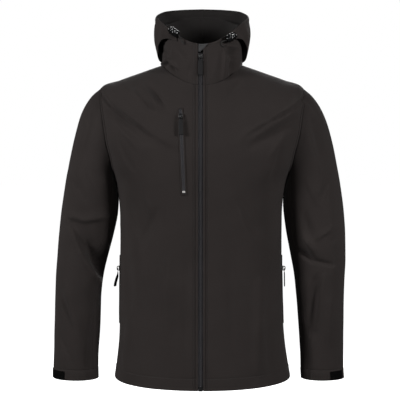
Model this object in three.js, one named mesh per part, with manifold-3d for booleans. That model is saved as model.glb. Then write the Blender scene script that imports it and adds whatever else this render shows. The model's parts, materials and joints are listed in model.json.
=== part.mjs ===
// A hooded softshell jacket, filled out as if it were worn, with the sleeves hanging at its sides.
// Millimetres, +Z up. The front faces -Y and +X is the wearer's left. The origin is the centre of the
// neck seam at the height of the shoulder's neck points.
import * as THREE from 'three';
import { mergeVertices } from 'three/addons/utils/BufferGeometryUtils.js';
import Module from 'manifold-3d';

const wasm = await Module();
wasm.setup();

// Driving dimensions
const clothThickness = 2;
const seamGap = 0.3;
const zipOpening = 11.4; // between the folded edges of the two fronts
const armholeFront = 31; // degrees that the armhole cuts into the front, measured round the chest
const armholeBack = 36;
const tipRow = 3; // the shoulder tip and the armpit, as rows of the torso table
const armpitRow = 7;
const chainWidth = 3.2;
const chainSunk = 0.9; // the main zip's coil lies this far below the cloth's outer face
const tapeReach = 15; // from the centre line to the outer edge of each zip tape
const tapeThickness = 0.8;
const stripWidth = 8; // a pocket zip, as it shows in its slot
const stripThickness = 1;
const onCloth = 0.5; // what lies on the cloth clears it by this much
const sliderWidth = 9.5;
const sliderHeight = 12;
const sliderThickness = 2.2;
const bridgeWidth = 3;
const bridgeHeight = 6.4; // of the slider's bridge above the coil
const hingeOut = 4.1; // from the coil to the axis that the pull tab turns on
const hingeDown = 0.5;
const pullerLength = 42;
const pullerWidth = 10;
const pullerThickness = 2.6;
const ringThickness = 1.4;
const cordDiameter = 2.8;

// A short table with named columns, one row for each section, rib or fold.
function table(columns, ...rows) {
  const result = { count: rows.length };
  columns.forEach((column, k) => {
    result[column] = rows.map((row) => row[k]);
  });
  return result;
}

// The torso's level sections, from the neck seam down to the hem. A section's height differs between its
// sides, its front and its back; its outline is a superellipse with the given squareness.
const torso = table(
  ['sideZ', 'frontZ', 'backZ', 'centreX', 'halfWidth', 'front', 'back', 'squareness'],
  [0, -47, 14, 4, 92, 92, 72, 2.0],
  [-16, -63, -6, 4, 138, 101, 87, 2.0],
  [-33, -86, -36, 4, 186, 110, 101, 2.1],
  [-51, -117, -75, 3.5, 230, 119, 112, 2.3],
  [-103, -156, -122, 3.5, 237, 126, 118, 2.7],
  [-158, -196, -170, 3, 231, 131, 121, 3.0],
  [-211, -234, -218, 2, 213, 132, 120, 3.0],
  [-262, -272, -266, 1, 194, 131, 117, 2.8],
  [-327, -330, -328, 1, 186.5, 128.5, 113, 2.6],
  [-400, -401, -400, 1, 185.5, 126, 110, 2.5],
  [-474, -475, -474, 1, 186.5, 126, 112, 2.5],
  [-549, -550, -549, 1.5, 188, 128, 118, 2.5],
  [-624, -627, -623, 3, 191, 131, 125, 2.5],
  [-681, -687, -679, 4, 198, 135, 130, 2.5],
  [-714, -723, -712, 4.5, 203, 138, 133, 2.5],
);
const hemRow = torso.count - 1;

// The sleeves' rings, from the armhole down to the cuff: the ring's outermost and innermost points as seen
// from the front, the place of its middle front to back, and half its depth.
const sleeveColumns = ['outerX', 'outerZ', 'innerX', 'innerZ', 'centreY', 'halfDepth'];
const sleeveRight = table(
  sleeveColumns,
  [229, -50, 187, -262, 2, 77],
  [252, -71, 187.5, -276, 2, 76],
  [272, -107, 188, -293, 2, 74],
  [288, -160, 189, -316, 2, 71],
  [302, -224, 191.5, -346, 1, 68],
  [315, -296, 200, -385, -1, 65],
  [323.5, -364, 212, -430, -4, 62],
  [330, -440, 223, -477, -8, 58],
  [334, -511, 229, -530, -13, 54],
  [336, -587, 231, -598, -19, 50],
  [337, -650, 234.5, -655, -25, 45],
  [338.5, -690, 235, -692, -29, 42],
  [339, -714, 234.5, -715, -31, 41],
);
const sleeveLeft = table(
  sleeveColumns,
  [236, -50, 189, -262, 2, 77],
  [259, -71, 189.5, -276, 2, 76],
  [281, -107, 190, -293, 2, 74],
  [299, -160, 190.5, -316, 2, 71],
  [313, -224, 193, -346, 1, 68],
  [325, -296, 198.5, -385, -1, 65],
  [332.5, -364, 207, -430, -4, 62],
  [334, -440, 215.5, -477, -8, 58],
  [331, -511, 221, -530, -13, 54],
  [329.5, -587, 226, -598, -19, 50],
  [329, -650, 229.5, -655, -25, 45],
  [329, -690, 230, -692, -29, 42],
  [330, -714, 231, -715, -31, 41],
);

// The standing collar's sections, from the neck seam up to its top edge.
const collar = table(
  ['sideZ', 'frontZ', 'backZ', 'centreX', 'halfWidth', 'front', 'back', 'squareness'],
  [0, -47, 14, 4, 92, 92, 72, 2.0],
  [32, -16, 46, 4, 90.5, 91, 72, 2.1],
  [64, 15, 82, 4, 87, 89, 70, 2.1],
  [93, 44, 116, 4, 82, 87, 66, 2.1],
);
const collarTop = collar.count - 1;

// The hood's ribs, from its front end beside the cord lock round to the centre back. Its lower edge is
// placed from the collar: the angle round it, the row up it and how far out from it. Then come the rim and
// how far the cloth bellies out between the two.
const hood = table(
  ['angle', 'collarRow', 'out', 'rimX', 'rimY', 'rimZ', 'belly'],
  [40, 2.5, 2.6, 60, -71, 68, 0],
  [54, 2.3, 8, 79, -58, 84, 2],
  [66, 1.9, 13, 94, -39, 97, 4],
  [78, 1.1, 14, 103, -12, 107, 5],
  [90, 0.45, 9, 106, 20, 113, 6],
  [103, 0.2, 3.6, 102, 52, 118, 8],
  [124, 0.2, 2.9, 84, 79, 126, 9],
  [150, 0.2, 2.9, 48, 95, 134, 10],
  [180, 0.2, 2.9, 0, 100, 137, 10],
);
const hoodCentreX = 4;
const hoodBackRib = hood.count - 1;

// The main folds: where each one starts and ends as seen from the front or back, how wide it is, and how
// far it stands out (a ridge) or in (a trough, negative).
const foldColumns = ['startX', 'startZ', 'endX', 'endZ', 'width', 'height'];
const frontFolds = table(
  foldColumns,
  [-165, -52, -88, -100, 15, 6],
  [-136, -48, -72, -92, 11, -4],
  [-212, -78, -112, -150, 16, 6],
  [-112, -150, -60, -178, 15, 4],
  [-200, -112, -124, -172, 15, -5],
  [226, -74, 190, -106, 15, 5],
  [190, -106, 92, -162, 16, 6],
  [208, -124, 116, -178, 15, -5],
  [86, -38, 64, -64, 10, -3],
  [-152, -326, -134, -368, 13, -4.5],
  [-98, -332, -126, -388, 14, -4.5],
  [-178, -380, -158, -560, 16, -5],
  [-158, -560, -174, -700, 18, 4],
  [158, -470, 146, -566, 13, -5],
  [146, -566, 160, -700, 15, -5],
  [130, -490, 126, -680, 20, 5],
);
const backFolds = table(
  foldColumns,
  [-195, -85, -100, -155, 17, 6],
  [-175, -130, -85, -190, 15, -5],
  [200, -90, 112, -164, 17, 5.5],
  [180, -140, 92, -204, 15, -5],
  [-165, -296, -92, -345, 16, -5],
  [-150, -345, -56, -392, 17, 5],
  [162, -306, 84, -352, 16, -5.5],
  [150, -356, 60, -398, 16, 5],
  [-120, -460, -134, -690, 20, 5],
  [-60, -520, -66, -705, 18, -4],
  [70, -500, 78, -705, 19, -4.5],
  [128, -450, 142, -690, 20, 5],
);
const rightSleeveFrontFolds = table(
  foldColumns,
  [-296, -332, -222, -352, 13, 5],
  [-298, -345, -256, -398, 15, -7],
  [-268, -380, -224, -474, 16, 7],
  [-248, -405, -212, -444, 15, -8],
  [-318, -500, -280, -590, 14, -5],
  [-300, -490, -260, -640, 15, 5],
  [-246, -550, -238, -650, 14, -4],
  [-238, -110, -264, -210, 16, -4],
);
const rightSleeveBackFolds = table(
  foldColumns,
  [-324, -348, -246, -378, 15, -6],
  [-328, -392, -246, -412, 15, 6],
  [-322, -432, -236, -444, 14, -6],
  [-264, -150, -232, -256, 17, -5],
  [-312, -510, -260, -620, 15, -5],
);
const leftSleeveFrontFolds = table(
  foldColumns,
  [222, -408, 254, -434, 13, -8],
  [252, -434, 296, -441, 12, -6],
  [238, -404, 300, -358, 15, 7],
  [234, -374, 264, -326, 16, -5],
  [244, -450, 264, -540, 15, 6],
  [232, -500, 246, -650, 14, -5],
  [294, -550, 274, -660, 15, 4],
  [248, -110, 272, -210, 16, -4],
);
const leftSleeveBackFolds = table(
  foldColumns,
  [324, -346, 240, -374, 15, -6],
  [330, -386, 236, -412, 15, 6],
  [322, -428, 232, -442, 14, -6],
  [270, -150, 236, -256, 17, -5],
  [314, -520, 260, -630, 15, -5],
);
const collarFolds = table(
  foldColumns,
  [-80, 4, -66, 8, 8, 3],
  [-66, 8, -52, -10, 8, 3],
  [66, 32, 62, -30, 9, -4],
  [-22, -4, -26, -22, 8, -1.5],
);

const radians = THREE.MathUtils.degToRad;
const mix = THREE.MathUtils.lerp;
const up = new THREE.Vector3(0, 0, 1);

// The value of a table's column between two rows, on a smooth curve through all of them.
function valueAt(list, position) {
  const last = list.length - 1;
  const i = Math.min(Math.max(Math.floor(position), 0), last - 1);
  const t = position - i;
  const before = i > 0 ? list[i - 1] : 2 * list[0] - list[1];
  const after = i < last - 1 ? list[i + 2] : 2 * list[last] - list[last - 1];
  const startSlope = (list[i + 1] - before) / 2;
  const endSlope = (after - list[i]) / 2;
  const gap = list[i + 1] - list[i];
  return list[i] + startSlope * t + (3 * gap - 2 * startSlope - endSlope) * t * t
    + (startSlope + endSlope - 2 * gap) * t * t * t;
}

// How far all the folds of a list push the cloth out at a place seen from the front or back.
function foldHeight(folds, x, z) {
  let height = 0;
  for (let k = 0; k < folds.count; k++) {
    const alongX = folds.endX[k] - folds.startX[k];
    const alongZ = folds.endZ[k] - folds.startZ[k];
    const length2 = alongX * alongX + alongZ * alongZ;
    const t = ((x - folds.startX[k]) * alongX + (z - folds.startZ[k]) * alongZ) / length2;
    const nearest = Math.min(Math.max(t, 0), 1);
    const offX = x - folds.startX[k] - nearest * alongX;
    const offZ = z - folds.startZ[k] - nearest * alongZ;
    const off2 = (offX * offX + offZ * offZ) / (folds.width[k] * folds.width[k]);
    height += folds.height[k] * Math.exp(-off2) * (0.55 + 0.45 * Math.sin(Math.PI * nearest));
  }
  return height;
}

// A point of a ring section: angle 0 is the centre front, a quarter turn is the wearer's left side.
function sectionPoint(rows, angle, row) {
  const sine = Math.sin(angle);
  const cosine = Math.cos(angle);
  const power = valueAt(rows.squareness, row);
  const reach = (Math.abs(sine) ** power + Math.abs(cosine) ** power) ** (-1 / power);
  const depth = cosine > 0 ? valueAt(rows.front, row) : valueAt(rows.back, row);
  const endZ = cosine > 0 ? valueAt(rows.frontZ, row) : valueAt(rows.backZ, row);
  return new THREE.Vector3(
    valueAt(rows.centreX, row) + valueAt(rows.halfWidth, row) * reach * sine,
    -depth * reach * cosine,
    mix(endZ, valueAt(rows.sideZ, row), sine * sine),
  );
}

// The outward normal of a surface given as a function of two parameters, by small differences.
function normalOf(surface, a, b, stepA, stepB) {
  const alongA = surface(a + stepA, b).sub(surface(a - stepA, b));
  const alongB = surface(a, b + stepB).sub(surface(a, b - stepB));
  return alongB.cross(alongA).normalize();
}

// How much of the front's (or the back's) folds a place at this angle takes: none at the side seam.
function facing(angle) {
  return Math.min(1, Math.abs(Math.cos(angle)) / 0.3);
}

function torsoFrame(angle, row) {
  const smooth = (a, r) => sectionPoint(torso, a, r);
  const point = smooth(angle, row);
  const normal = normalOf(smooth, angle, row, 0.004, 0.02);
  const folds = Math.cos(angle) > 0 ? frontFolds : backFolds;
  point.addScaledVector(normal, foldHeight(folds, point.x, point.z) * facing(angle));
  return { point, normal };
}

function collarFrame(angle, row) {
  const smooth = (a, r) => sectionPoint(collar, a, r);
  const point = smooth(angle, row);
  const normal = normalOf(smooth, angle, row, 0.004, 0.02).negate();
  if (Math.cos(angle) > 0) {
    point.addScaledVector(normal, foldHeight(collarFolds, point.x, point.z) * facing(angle));
  }
  return { point, normal };
}

// The torso or collar angle at which the section passes a distance X from the centre front line.
function angleAt(rows, row, x) {
  const share = (x - valueAt(rows.centreX, row)) / valueAt(rows.halfWidth, row);
  const power = valueAt(rows.squareness, row);
  const across = Math.abs(share);
  return Math.sign(share) * Math.atan2(across, (1 - across ** power) ** (1 / power));
}

// The armhole seam: turn 0 is the shoulder tip, a quarter the front, a half the armpit.
function armholeRow(turn) {
  return mix(tipRow, armpitRow, (1 - Math.cos(turn)) / 2);
}

function armholeAngle(turn) {
  const cut = Math.sin(turn) > 0 ? -armholeFront : armholeBack;
  return Math.PI / 2 + radians(cut) * Math.abs(Math.sin(turn));
}

function armholePoint(side, turn) {
  return torsoFrame(side * armholeAngle(turn), armholeRow(turn)).point;
}

// The sleeve: turn 0 is its outer side, a quarter its front. It leaves the armhole seam in the seam's own
// shape and takes the rings' shape over the first three of them.
function sleeveSmooth(side, turn, row) {
  const rows = side > 0 ? sleeveLeft : sleeveRight;
  const ring = (t, r) => {
    const outX = valueAt(rows.outerX, r);
    const inX = valueAt(rows.innerX, r);
    const outZ = valueAt(rows.outerZ, r);
    const inZ = valueAt(rows.innerZ, r);
    const across = (1 + Math.cos(t)) / 2;
    return new THREE.Vector3(
      side * mix(inX, outX, across),
      valueAt(rows.centreY, r) - valueAt(rows.halfDepth, r) * Math.sin(t),
      mix(inZ, outZ, across),
    );
  };
  const point = ring(turn, row);
  const share = 1 - THREE.MathUtils.smoothstep(row, 0, 3);
  if (share > 0) {
    point.addScaledVector(armholePoint(side, turn).sub(ring(turn, 0)), share);
  }
  return point;
}

function sleeveFrame(side, turn, row) {
  const smooth = (t, r) => sleeveSmooth(side, t, Math.max(r, 0));
  const point = smooth(turn, row);
  const normal = normalOf(smooth, turn, row, 0.01, 0.03).multiplyScalar(-side);
  const atFront = Math.sin(turn) > 0;
  const rightFolds = atFront ? rightSleeveFrontFolds : rightSleeveBackFolds;
  const leftFolds = atFront ? leftSleeveFrontFolds : leftSleeveBackFolds;
  const height = foldHeight(side > 0 ? leftFolds : rightFolds, point.x, point.z);
  const ease = Math.min(1, Math.abs(Math.sin(turn)) / 0.35) * THREE.MathUtils.smoothstep(row, 0, 1);
  point.addScaledVector(normal, height * ease);
  return { point, normal };
}

// The hood: rib 0 is its front end, the last rib its centre back; height 0 is its lower edge, 1 its rim.
function hoodFrame(side, rib, height) {
  const smooth = (r, h) => {
    const inside = Math.min(r, 2 * hoodBackRib - r);
    const flip = r > hoodBackRib ? -side : side;
    const angle = flip * radians(valueAt(hood.angle, inside));
    const base = collarFrame(angle, valueAt(hood.collarRow, inside));
    const low = base.point.addScaledVector(base.normal, valueAt(hood.out, inside));
    const x = hoodCentreX + flip * valueAt(hood.rimX, inside);
    const rim = new THREE.Vector3(x, valueAt(hood.rimY, inside), valueAt(hood.rimZ, inside));
    const place = low.lerp(rim, h);
    const belly = valueAt(hood.belly, inside) * Math.sin(Math.PI * Math.min(Math.max(h, 0), 1));
    const outward = new THREE.Vector3(place.x - hoodCentreX, place.y, 0).normalize();
    return place.addScaledVector(outward, belly);
  };
  const point = smooth(rib, height);
  const normal = normalOf(smooth, rib, height, 0.02, 0.02).multiplyScalar(-side);
  return { point, normal };
}

// Where two pieces are sewn together, both take the mean of their normals; each moves back by half the
// seam's gap, towards its own side.
function seamFrame(own, other, alongSeam, ownSide) {
  const normal = own.normal.clone().add(other.normal).normalize();
  const away = normal.clone().cross(alongSeam).normalize();
  const step = seamGap / 2 * Math.sign(away.dot(ownSide) || 1);
  return { point: own.point.clone().addScaledVector(away, step), normal };
}

// Moves a frame along the cloth, at right angles to a seam that runs up and down.
function backFromSeam(frame, neighbour) {
  const away = neighbour.point.clone().sub(frame.point).normalize();
  return { point: frame.point.clone().addScaledVector(away, seamGap / 2), normal: frame.normal };
}

// A closed wall between a grid of outer points and the same points moved in by the cloth's thickness.
function wall(grid, thickness = clothThickness, lift = 0) {
  const rows = grid.length;
  const columns = grid[0].length;
  const positions = [];
  for (const depth of [lift, lift - thickness]) {
    for (const line of grid) {
      for (const { point, normal } of line) {
        positions.push(...point.clone().addScaledVector(normal, depth).toArray());
      }
    }
  }
  const outer = (i, j) => i * columns + j;
  const inner = (i, j) => rows * columns + i * columns + j;
  const faces = [];
  const quad = (a, b, c, d) => faces.push(a, b, c, a, c, d);
  for (let i = 0; i < rows - 1; i++) {
    for (let j = 0; j < columns - 1; j++) {
      quad(outer(i, j), outer(i + 1, j), outer(i + 1, j + 1), outer(i, j + 1));
      quad(inner(i, j), inner(i, j + 1), inner(i + 1, j + 1), inner(i + 1, j));
    }
  }
  for (let i = 0; i < rows - 1; i++) {
    quad(outer(i, 0), inner(i, 0), inner(i + 1, 0), outer(i + 1, 0));
    quad(outer(i, columns - 1), outer(i + 1, columns - 1), inner(i + 1, columns - 1), inner(i, columns - 1));
  }
  for (let j = 0; j < columns - 1; j++) {
    quad(outer(0, j), outer(0, j + 1), inner(0, j + 1), inner(0, j));
    quad(outer(rows - 1, j), inner(rows - 1, j), inner(rows - 1, j + 1), outer(rows - 1, j + 1));
  }
  return facingOut(positions, faces);
}

// A geometry from points and triangles, turned so that its faces point out.
function facingOut(positions, faces) {
  let volume = 0;
  const corner = (k) => new THREE.Vector3().fromArray(positions, 3 * k);
  for (let k = 0; k < faces.length; k += 3) {
    volume += corner(faces[k]).dot(corner(faces[k + 1]).cross(corner(faces[k + 2])));
  }
  if (volume < 0) {
    faces.reverse();
  }
  const geometry = new THREE.BufferGeometry();
  geometry.setAttribute('position', new THREE.Float32BufferAttribute(positions, 3));
  geometry.setIndex(faces);
  geometry.computeVertexNormals();
  return geometry;
}

function spread(from, to, steps) {
  return Array.from({ length: steps + 1 }, (_, k) => mix(from, to, k / steps));
}

// Materials, one for each finish
const finishes = {
  cloth: { color: 0x2b2827, roughness: 0.9, metalness: 0 },
  inside: { color: 0x1d1b1b, roughness: 0.95, metalness: 0 },
  zipTape: { color: 0x2f2f34, roughness: 0.75, metalness: 0 },
  zipChain: { color: 0x3a3a40, roughness: 0.45, metalness: 0.1 },
  slider: { color: 0x1b1b1d, roughness: 0.35, metalness: 0.8 },
  puller: { color: 0x202023, roughness: 0.5, metalness: 0 },
  endStop: { color: 0xa5a3a0, roughness: 0.4, metalness: 0.5 },
  loopPatch: { color: 0x161616, roughness: 1, metalness: 0 },
  lock: { color: 0x0d0d0e, roughness: 0.2, metalness: 0 },
  cord: { color: 0x1a1919, roughness: 0.8, metalness: 0 },
};
const jacket = new THREE.Group();

function add(name, geometry, finish, placement) {
  const mesh = new THREE.Mesh(geometry, new THREE.MeshStandardMaterial(finishes[finish]));
  mesh.name = name;
  if (placement) {
    placement.decompose(mesh.position, mesh.quaternion, mesh.scale);
  }
  jacket.add(mesh);
}

const sides = [['right', -1], ['left', 1]];

// Fronts and back
const rowsAboveArmhole = spread(0, tipRow, 4).slice(0, -1);
const turnsOfArmhole = spread(0, Math.PI, 10);
const rowsBelowArmhole = spread(armpitRow, hemRow, 11).slice(1);

// One line of a panel: its frames from the centre line (or zip edge) out to its seam.
function panelLine(side, row, turn, centreAngle, columns) {
  const half = Math.abs(centreAngle) < 1 ? 1 : -1;
  const seamAngle = turn === null ? Math.PI / 2 : armholeAngle(half * turn);
  const line = spread(centreAngle, side * seamAngle, columns).map((angle) => torsoFrame(angle, row));
  const last = line.length - 1;
  if (turn !== null && Math.sin(turn) > 1e-6) {
    const sleeve = sleeveFrame(side, half * turn, 0);
    const ahead = armholePoint(side, half * turn + 0.01).sub(armholePoint(side, half * turn - 0.01));
    const inward = line[last - 1].point.clone().sub(line[last].point);
    line[last] = seamFrame(line[last], sleeve, ahead, inward);
  } else {
    line[last] = backFromSeam(line[last], line[last - 1]);
  }
  return line;
}

// The line of a panel along the neck seam, shared with the collar.
function neckLine(line, angles) {
  return line.map((frame, k) => {
    const ahead = torsoFrame(angles[k] + 0.01, 0).point.sub(torsoFrame(angles[k] - 0.01, 0).point);
    const seam = seamFrame(torsoFrame(angles[k], 0), collarFrame(angles[k], 0), ahead, up.clone().negate());
    const shift = frame.point.clone().sub(torsoFrame(angles[k], 0).point);
    return { point: seam.point.add(shift), normal: seam.normal };
  });
}

function panelGrid(side, isFront, columns) {
  const centre = (row) => (isFront ? angleAt(torso, row, side * zipOpening / 2) : side * Math.PI);
  const grid = [];
  for (const row of rowsAboveArmhole) {
    grid.push(panelLine(side, row, null, centre(row), columns));
  }
  for (const turn of turnsOfArmhole) {
    const row = armholeRow(turn);
    grid.push(panelLine(side, row, turn, centre(row), columns));
  }
  for (const row of rowsBelowArmhole) {
    grid.push(panelLine(side, row, null, centre(row), columns));
  }
  grid[0] = neckLine(grid[0], spread(centre(0), side * Math.PI / 2, columns));
  return grid;
}

const frontColumns = 12;
const backColumns = 11;
const frontGrids = {};
for (const [name, side] of sides) {
  frontGrids[side] = panelGrid(side, true, frontColumns);
  add(`front_${name}`, wall(frontGrids[side]), 'cloth');
}
const backRight = panelGrid(-1, false, backColumns);
const backLeft = panelGrid(1, false, backColumns);
const backGrid = backLeft.map((line, k) => [...line].reverse().concat(backRight[k].slice(1)));
add('back', wall(backGrid), 'cloth');

// Sleeves, each a top piece and an under piece joined by two seams on its inner side
const topSeamFront = radians(144);
const topSeamBack = radians(-126);
const sleeveRows = [
  0, 0.4, 0.9, 1.5, 2.2, 3, 3.9, 4.7, 5.3, 5.8, 6.3, 6.8, 7.3, 7.9, 8.7, 9.6, 10.5, 11.3, 12,
];

function sleeveGrid(side, fromTurn, toTurn, columns) {
  const turns = spread(fromTurn, toTurn, columns);
  return sleeveRows.map((row) => {
    const line = turns.map((turn) => {
      const frame = sleeveFrame(side, turn, row);
      if (row > 0) {
        return frame;
      }
      const panel = torsoFrame(side * armholeAngle(turn), armholeRow(turn));
      const ahead = armholePoint(side, turn + 0.01).sub(armholePoint(side, turn - 0.01));
      const outward = sleeveFrame(side, turn, 0.3).point.sub(frame.point);
      return seamFrame(frame, panel, ahead, outward);
    });
    const last = line.length - 1;
    const first = backFromSeam(line[0], line[1]);
    line[last] = backFromSeam(line[last], line[last - 1]);
    line[0] = first;
    return line;
  });
}

for (const [name, side] of sides) {
  add(`sleeve_${name}_top`, wall(sleeveGrid(side, topSeamBack, topSeamFront, 15)), 'cloth');
  add(`sleeve_${name}_under`, wall(sleeveGrid(side, topSeamFront, topSeamBack + 2 * Math.PI, 5)), 'cloth');
}

// Collar halves, from the zip round to the centre-back seam
const collarRows = spread(0, collarTop, 5);

function collarGrid(side) {
  const columns = frontColumns + backColumns;
  return collarRows.map((row) => {
    const zipAngle = angleAt(collar, row, side * zipOpening / 2);
    const frontAngles = spread(zipAngle, side * Math.PI / 2, frontColumns);
    const angles = frontAngles.concat(spread(side * Math.PI / 2, side * Math.PI, backColumns).slice(1));
    const line = angles.map((angle) => {
      const frame = collarFrame(angle, row);
      if (row > 0) {
        return frame;
      }
      const ahead = torsoFrame(angle + 0.01, 0).point.sub(torsoFrame(angle - 0.01, 0).point);
      return seamFrame(frame, torsoFrame(angle, 0), ahead, up);
    });
    line[columns] = backFromSeam(line[columns], line[columns - 1]);
    return line;
  });
}

for (const [name, side] of sides) {
  add(`collar_${name}`, wall(collarGrid(side)), 'cloth');
}

// Hood halves
function hoodGrid(side) {
  return spread(0, 1, 6).map((height) => {
    const line = spread(0, hoodBackRib, 14).map((rib) => hoodFrame(side, rib, height));
    line[14] = backFromSeam(line[14], line[13]);
    return line;
  });
}

for (const [name, side] of sides) {
  add(`hood_${name}`, wall(hoodGrid(side)), 'cloth');
}

// What lies on a panel is placed on the panel's own faces. Column and row count along its grid.
function onGrid(grid, column, row) {
  const i = Math.min(Math.floor(row), grid.length - 2);
  const j = Math.min(Math.floor(column), grid[0].length - 2);
  const u = column - j;
  const v = row - i;
  const corners = [grid[i][j], grid[i + 1][j], grid[i + 1][j + 1], grid[i][j + 1]];
  const weights = v > u ? [1 - v, v - u, u, 0] : [1 - u, 0, v, u - v];
  const blend = (key) => corners.reduce(
    (sum, corner, k) => sum.addScaledVector(corner[key], weights[k]),
    new THREE.Vector3(),
  );
  return { point: blend('point'), normal: blend('normal').normalize() };
}

// The place on a panel that is seen from the front at x, z: tries each of the panel's triangles.
function seenAt(grid, x, z) {
  for (let i = 0; i < grid.length - 1; i++) {
    for (let j = 0; j < grid[0].length - 1; j++) {
      const [a, b, c, d] = [grid[i][j], grid[i + 1][j], grid[i + 1][j + 1], grid[i][j + 1]];
      for (const [p, q, r] of [[a, b, c], [a, c, d]]) {
        const [qx, qz] = [q.point.x - p.point.x, q.point.z - p.point.z];
        const [rx, rz] = [r.point.x - p.point.x, r.point.z - p.point.z];
        const [px, pz] = [x - p.point.x, z - p.point.z];
        const area = qx * rz - rx * qz;
        const s = (px * rz - rx * pz) / area;
        const t = (qx * pz - px * qz) / area;
        if (s >= -1e-6 && t >= -1e-6 && s + t <= 1 + 1e-6) {
          const sum = (key) => p[key].clone().multiplyScalar(1 - s - t)
            .addScaledVector(q[key], s).addScaledVector(r[key], t);
          return { point: sum('point'), normal: sum('normal').normalize() };
        }
      }
    }
  }
  throw new Error(`nothing of the panel is seen at ${x}, ${z}`);
}

// A placement on the cloth: x along its level, -y out of it and z up it.
function placedOn(frame, lift, upHint = up) {
  const inward = frame.normal.clone().negate();
  const upward = upHint.clone().addScaledVector(inward, -upHint.dot(inward)).normalize();
  const across = inward.clone().cross(upward);
  const place = frame.point.clone().addScaledVector(frame.normal, lift);
  return new THREE.Matrix4().makeBasis(across, inward, upward).setPosition(place);
}

// Joins closed shapes into one.
function joined(...shapes) {
  const solids = shapes.map((shape) => {
    const bare = shape.clone();
    bare.deleteAttribute('normal');
    bare.deleteAttribute('uv');
    const merged = mergeVertices(bare, 1e-4);
    return new wasm.Manifold(new wasm.Mesh({
      numProp: 3,
      vertProperties: merged.attributes.position.array,
      triVerts: new Uint32Array(merged.index.array),
    }));
  });
  const whole = solids.reduce((sum, solid) => sum.add(solid)).getMesh();
  return facingOut([...whole.vertProperties], [...whole.triVerts]);
}

// A flat outline with rounded corners, centred across and running from bottom to top.
function roundedOutline(width, bottom, top, radius) {
  const half = width / 2;
  const outline = new THREE.Shape();
  outline.moveTo(-half + radius, bottom);
  outline.lineTo(half - radius, bottom);
  outline.absarc(half - radius, bottom + radius, radius, -Math.PI / 2, 0);
  outline.lineTo(half, top - radius);
  outline.absarc(half - radius, top - radius, radius, 0, Math.PI / 2);
  outline.lineTo(-half + radius, top);
  outline.absarc(-half + radius, top - radius, radius, Math.PI / 2, Math.PI);
  outline.lineTo(-half, bottom + radius);
  outline.absarc(-half + radius, bottom + radius, radius, Math.PI, 1.5 * Math.PI);
  return outline;
}

// Gives a flat outline its thickness, standing upright with its back at y = back.
function plate(outline, thickness, back = 0) {
  const settings = { depth: thickness, bevelEnabled: false, curveSegments: 3 };
  return new THREE.ExtrudeGeometry(outline, settings).rotateX(Math.PI / 2).translate(0, back, 0);
}

// A zip slider: a plate over the coil with a bridge that the pull tab hangs on.
function sliderShape() {
  const bridge = new THREE.Shape();
  bridge.moveTo(1.9, -4.6);
  bridge.lineTo(4.6, -4.6);
  bridge.quadraticCurveTo(bridgeHeight, -4.4, bridgeHeight, -2.4);
  bridge.lineTo(bridgeHeight, 2.8);
  bridge.quadraticCurveTo(bridgeHeight, 4.4, 4.6, 4.6);
  bridge.lineTo(1.9, 4.6);
  const slot = new THREE.Path();
  slot.moveTo(3, -1.9);
  slot.lineTo(3, 2.4);
  slot.lineTo(5.2, 2.4);
  slot.lineTo(5.2, -1.9);
  bridge.holes.push(slot);
  const settings = { depth: bridgeWidth, bevelEnabled: false, curveSegments: 3 };
  const turn = new THREE.Matrix4().makeBasis(
    new THREE.Vector3(0, -1, 0),
    new THREE.Vector3(0, 0, 1),
    new THREE.Vector3(-1, 0, 0),
  );
  const arch = new THREE.ExtrudeGeometry(bridge, settings).applyMatrix4(turn);
  arch.translate(bridgeWidth / 2, 0, 0);
  const body = plate(roundedOutline(sliderWidth, -sliderHeight / 2, sliderHeight / 2, 2.4), sliderThickness);
  return joined(body, arch);
}

// A pull tab hanging from its axis: a thin ring round the slider's bridge and a thicker moulded grip.
function pullerShape() {
  const ring = roundedOutline(7.4, -11, ringThickness / 2, 0.6);
  const eye = new THREE.Path();
  eye.moveTo(-2.3, -7.5);
  eye.lineTo(-2.3, -ringThickness / 2);
  eye.lineTo(2.3, -ringThickness / 2);
  eye.lineTo(2.3, -7.5);
  ring.holes.push(eye);
  const grip = roundedOutline(pullerWidth, -pullerLength, -8.6, 2.2);
  return joined(
    plate(ring, ringThickness, ringThickness / 2),
    plate(grip, pullerThickness, pullerThickness / 2),
  );
}

function addSliderAndPuller(name, frame, lift, upHint = up) {
  const seat = placedOn(frame, lift, upHint);
  add(`${name}_slider`, sliderShape(), 'slider', seat);
  const axis = seat.clone().multiply(new THREE.Matrix4().makeTranslation(0, -hingeOut, -hingeDown));
  add(`${name}_puller`, pullerShape(), 'puller', axis);
}

// Main zip: it runs from under the chin guard down to the hem, behind the fronts' folded edges
const panelRows = [...rowsAboveArmhole, ...turnsOfArmhole.map(armholeRow), ...rowsBelowArmhole];
const zipTopRow = 2.3; // of the collar table
const zipLines = [
  ...[zipTopRow, 2, 1.5, 1, 0.6, 0.3].map((row) => ['collar', row]),
  ['neck', 0],
  ...panelRows.slice(1).map((row) => ['front', row]),
];
const sliderRow = 2.06;
const zipBoxHeight = 11;

function centreFrame(kind, row, x) {
  if (kind === 'collar') {
    return collarFrame(angleAt(collar, row, x), row);
  }
  const frame = torsoFrame(angleAt(torso, row, x), row);
  if (kind === 'neck') {
    frame.normal.add(collarFrame(angleAt(collar, 0, x), 0).normal).normalize();
  }
  return frame;
}

function zipBand(acrossList, lastRow) {
  const lines = zipLines.map(([kind, row]) => [kind, Math.min(row, lastRow)]);
  return lines.map(([kind, row]) => acrossList.map((x) => centreFrame(kind, row, x)));
}

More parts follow.
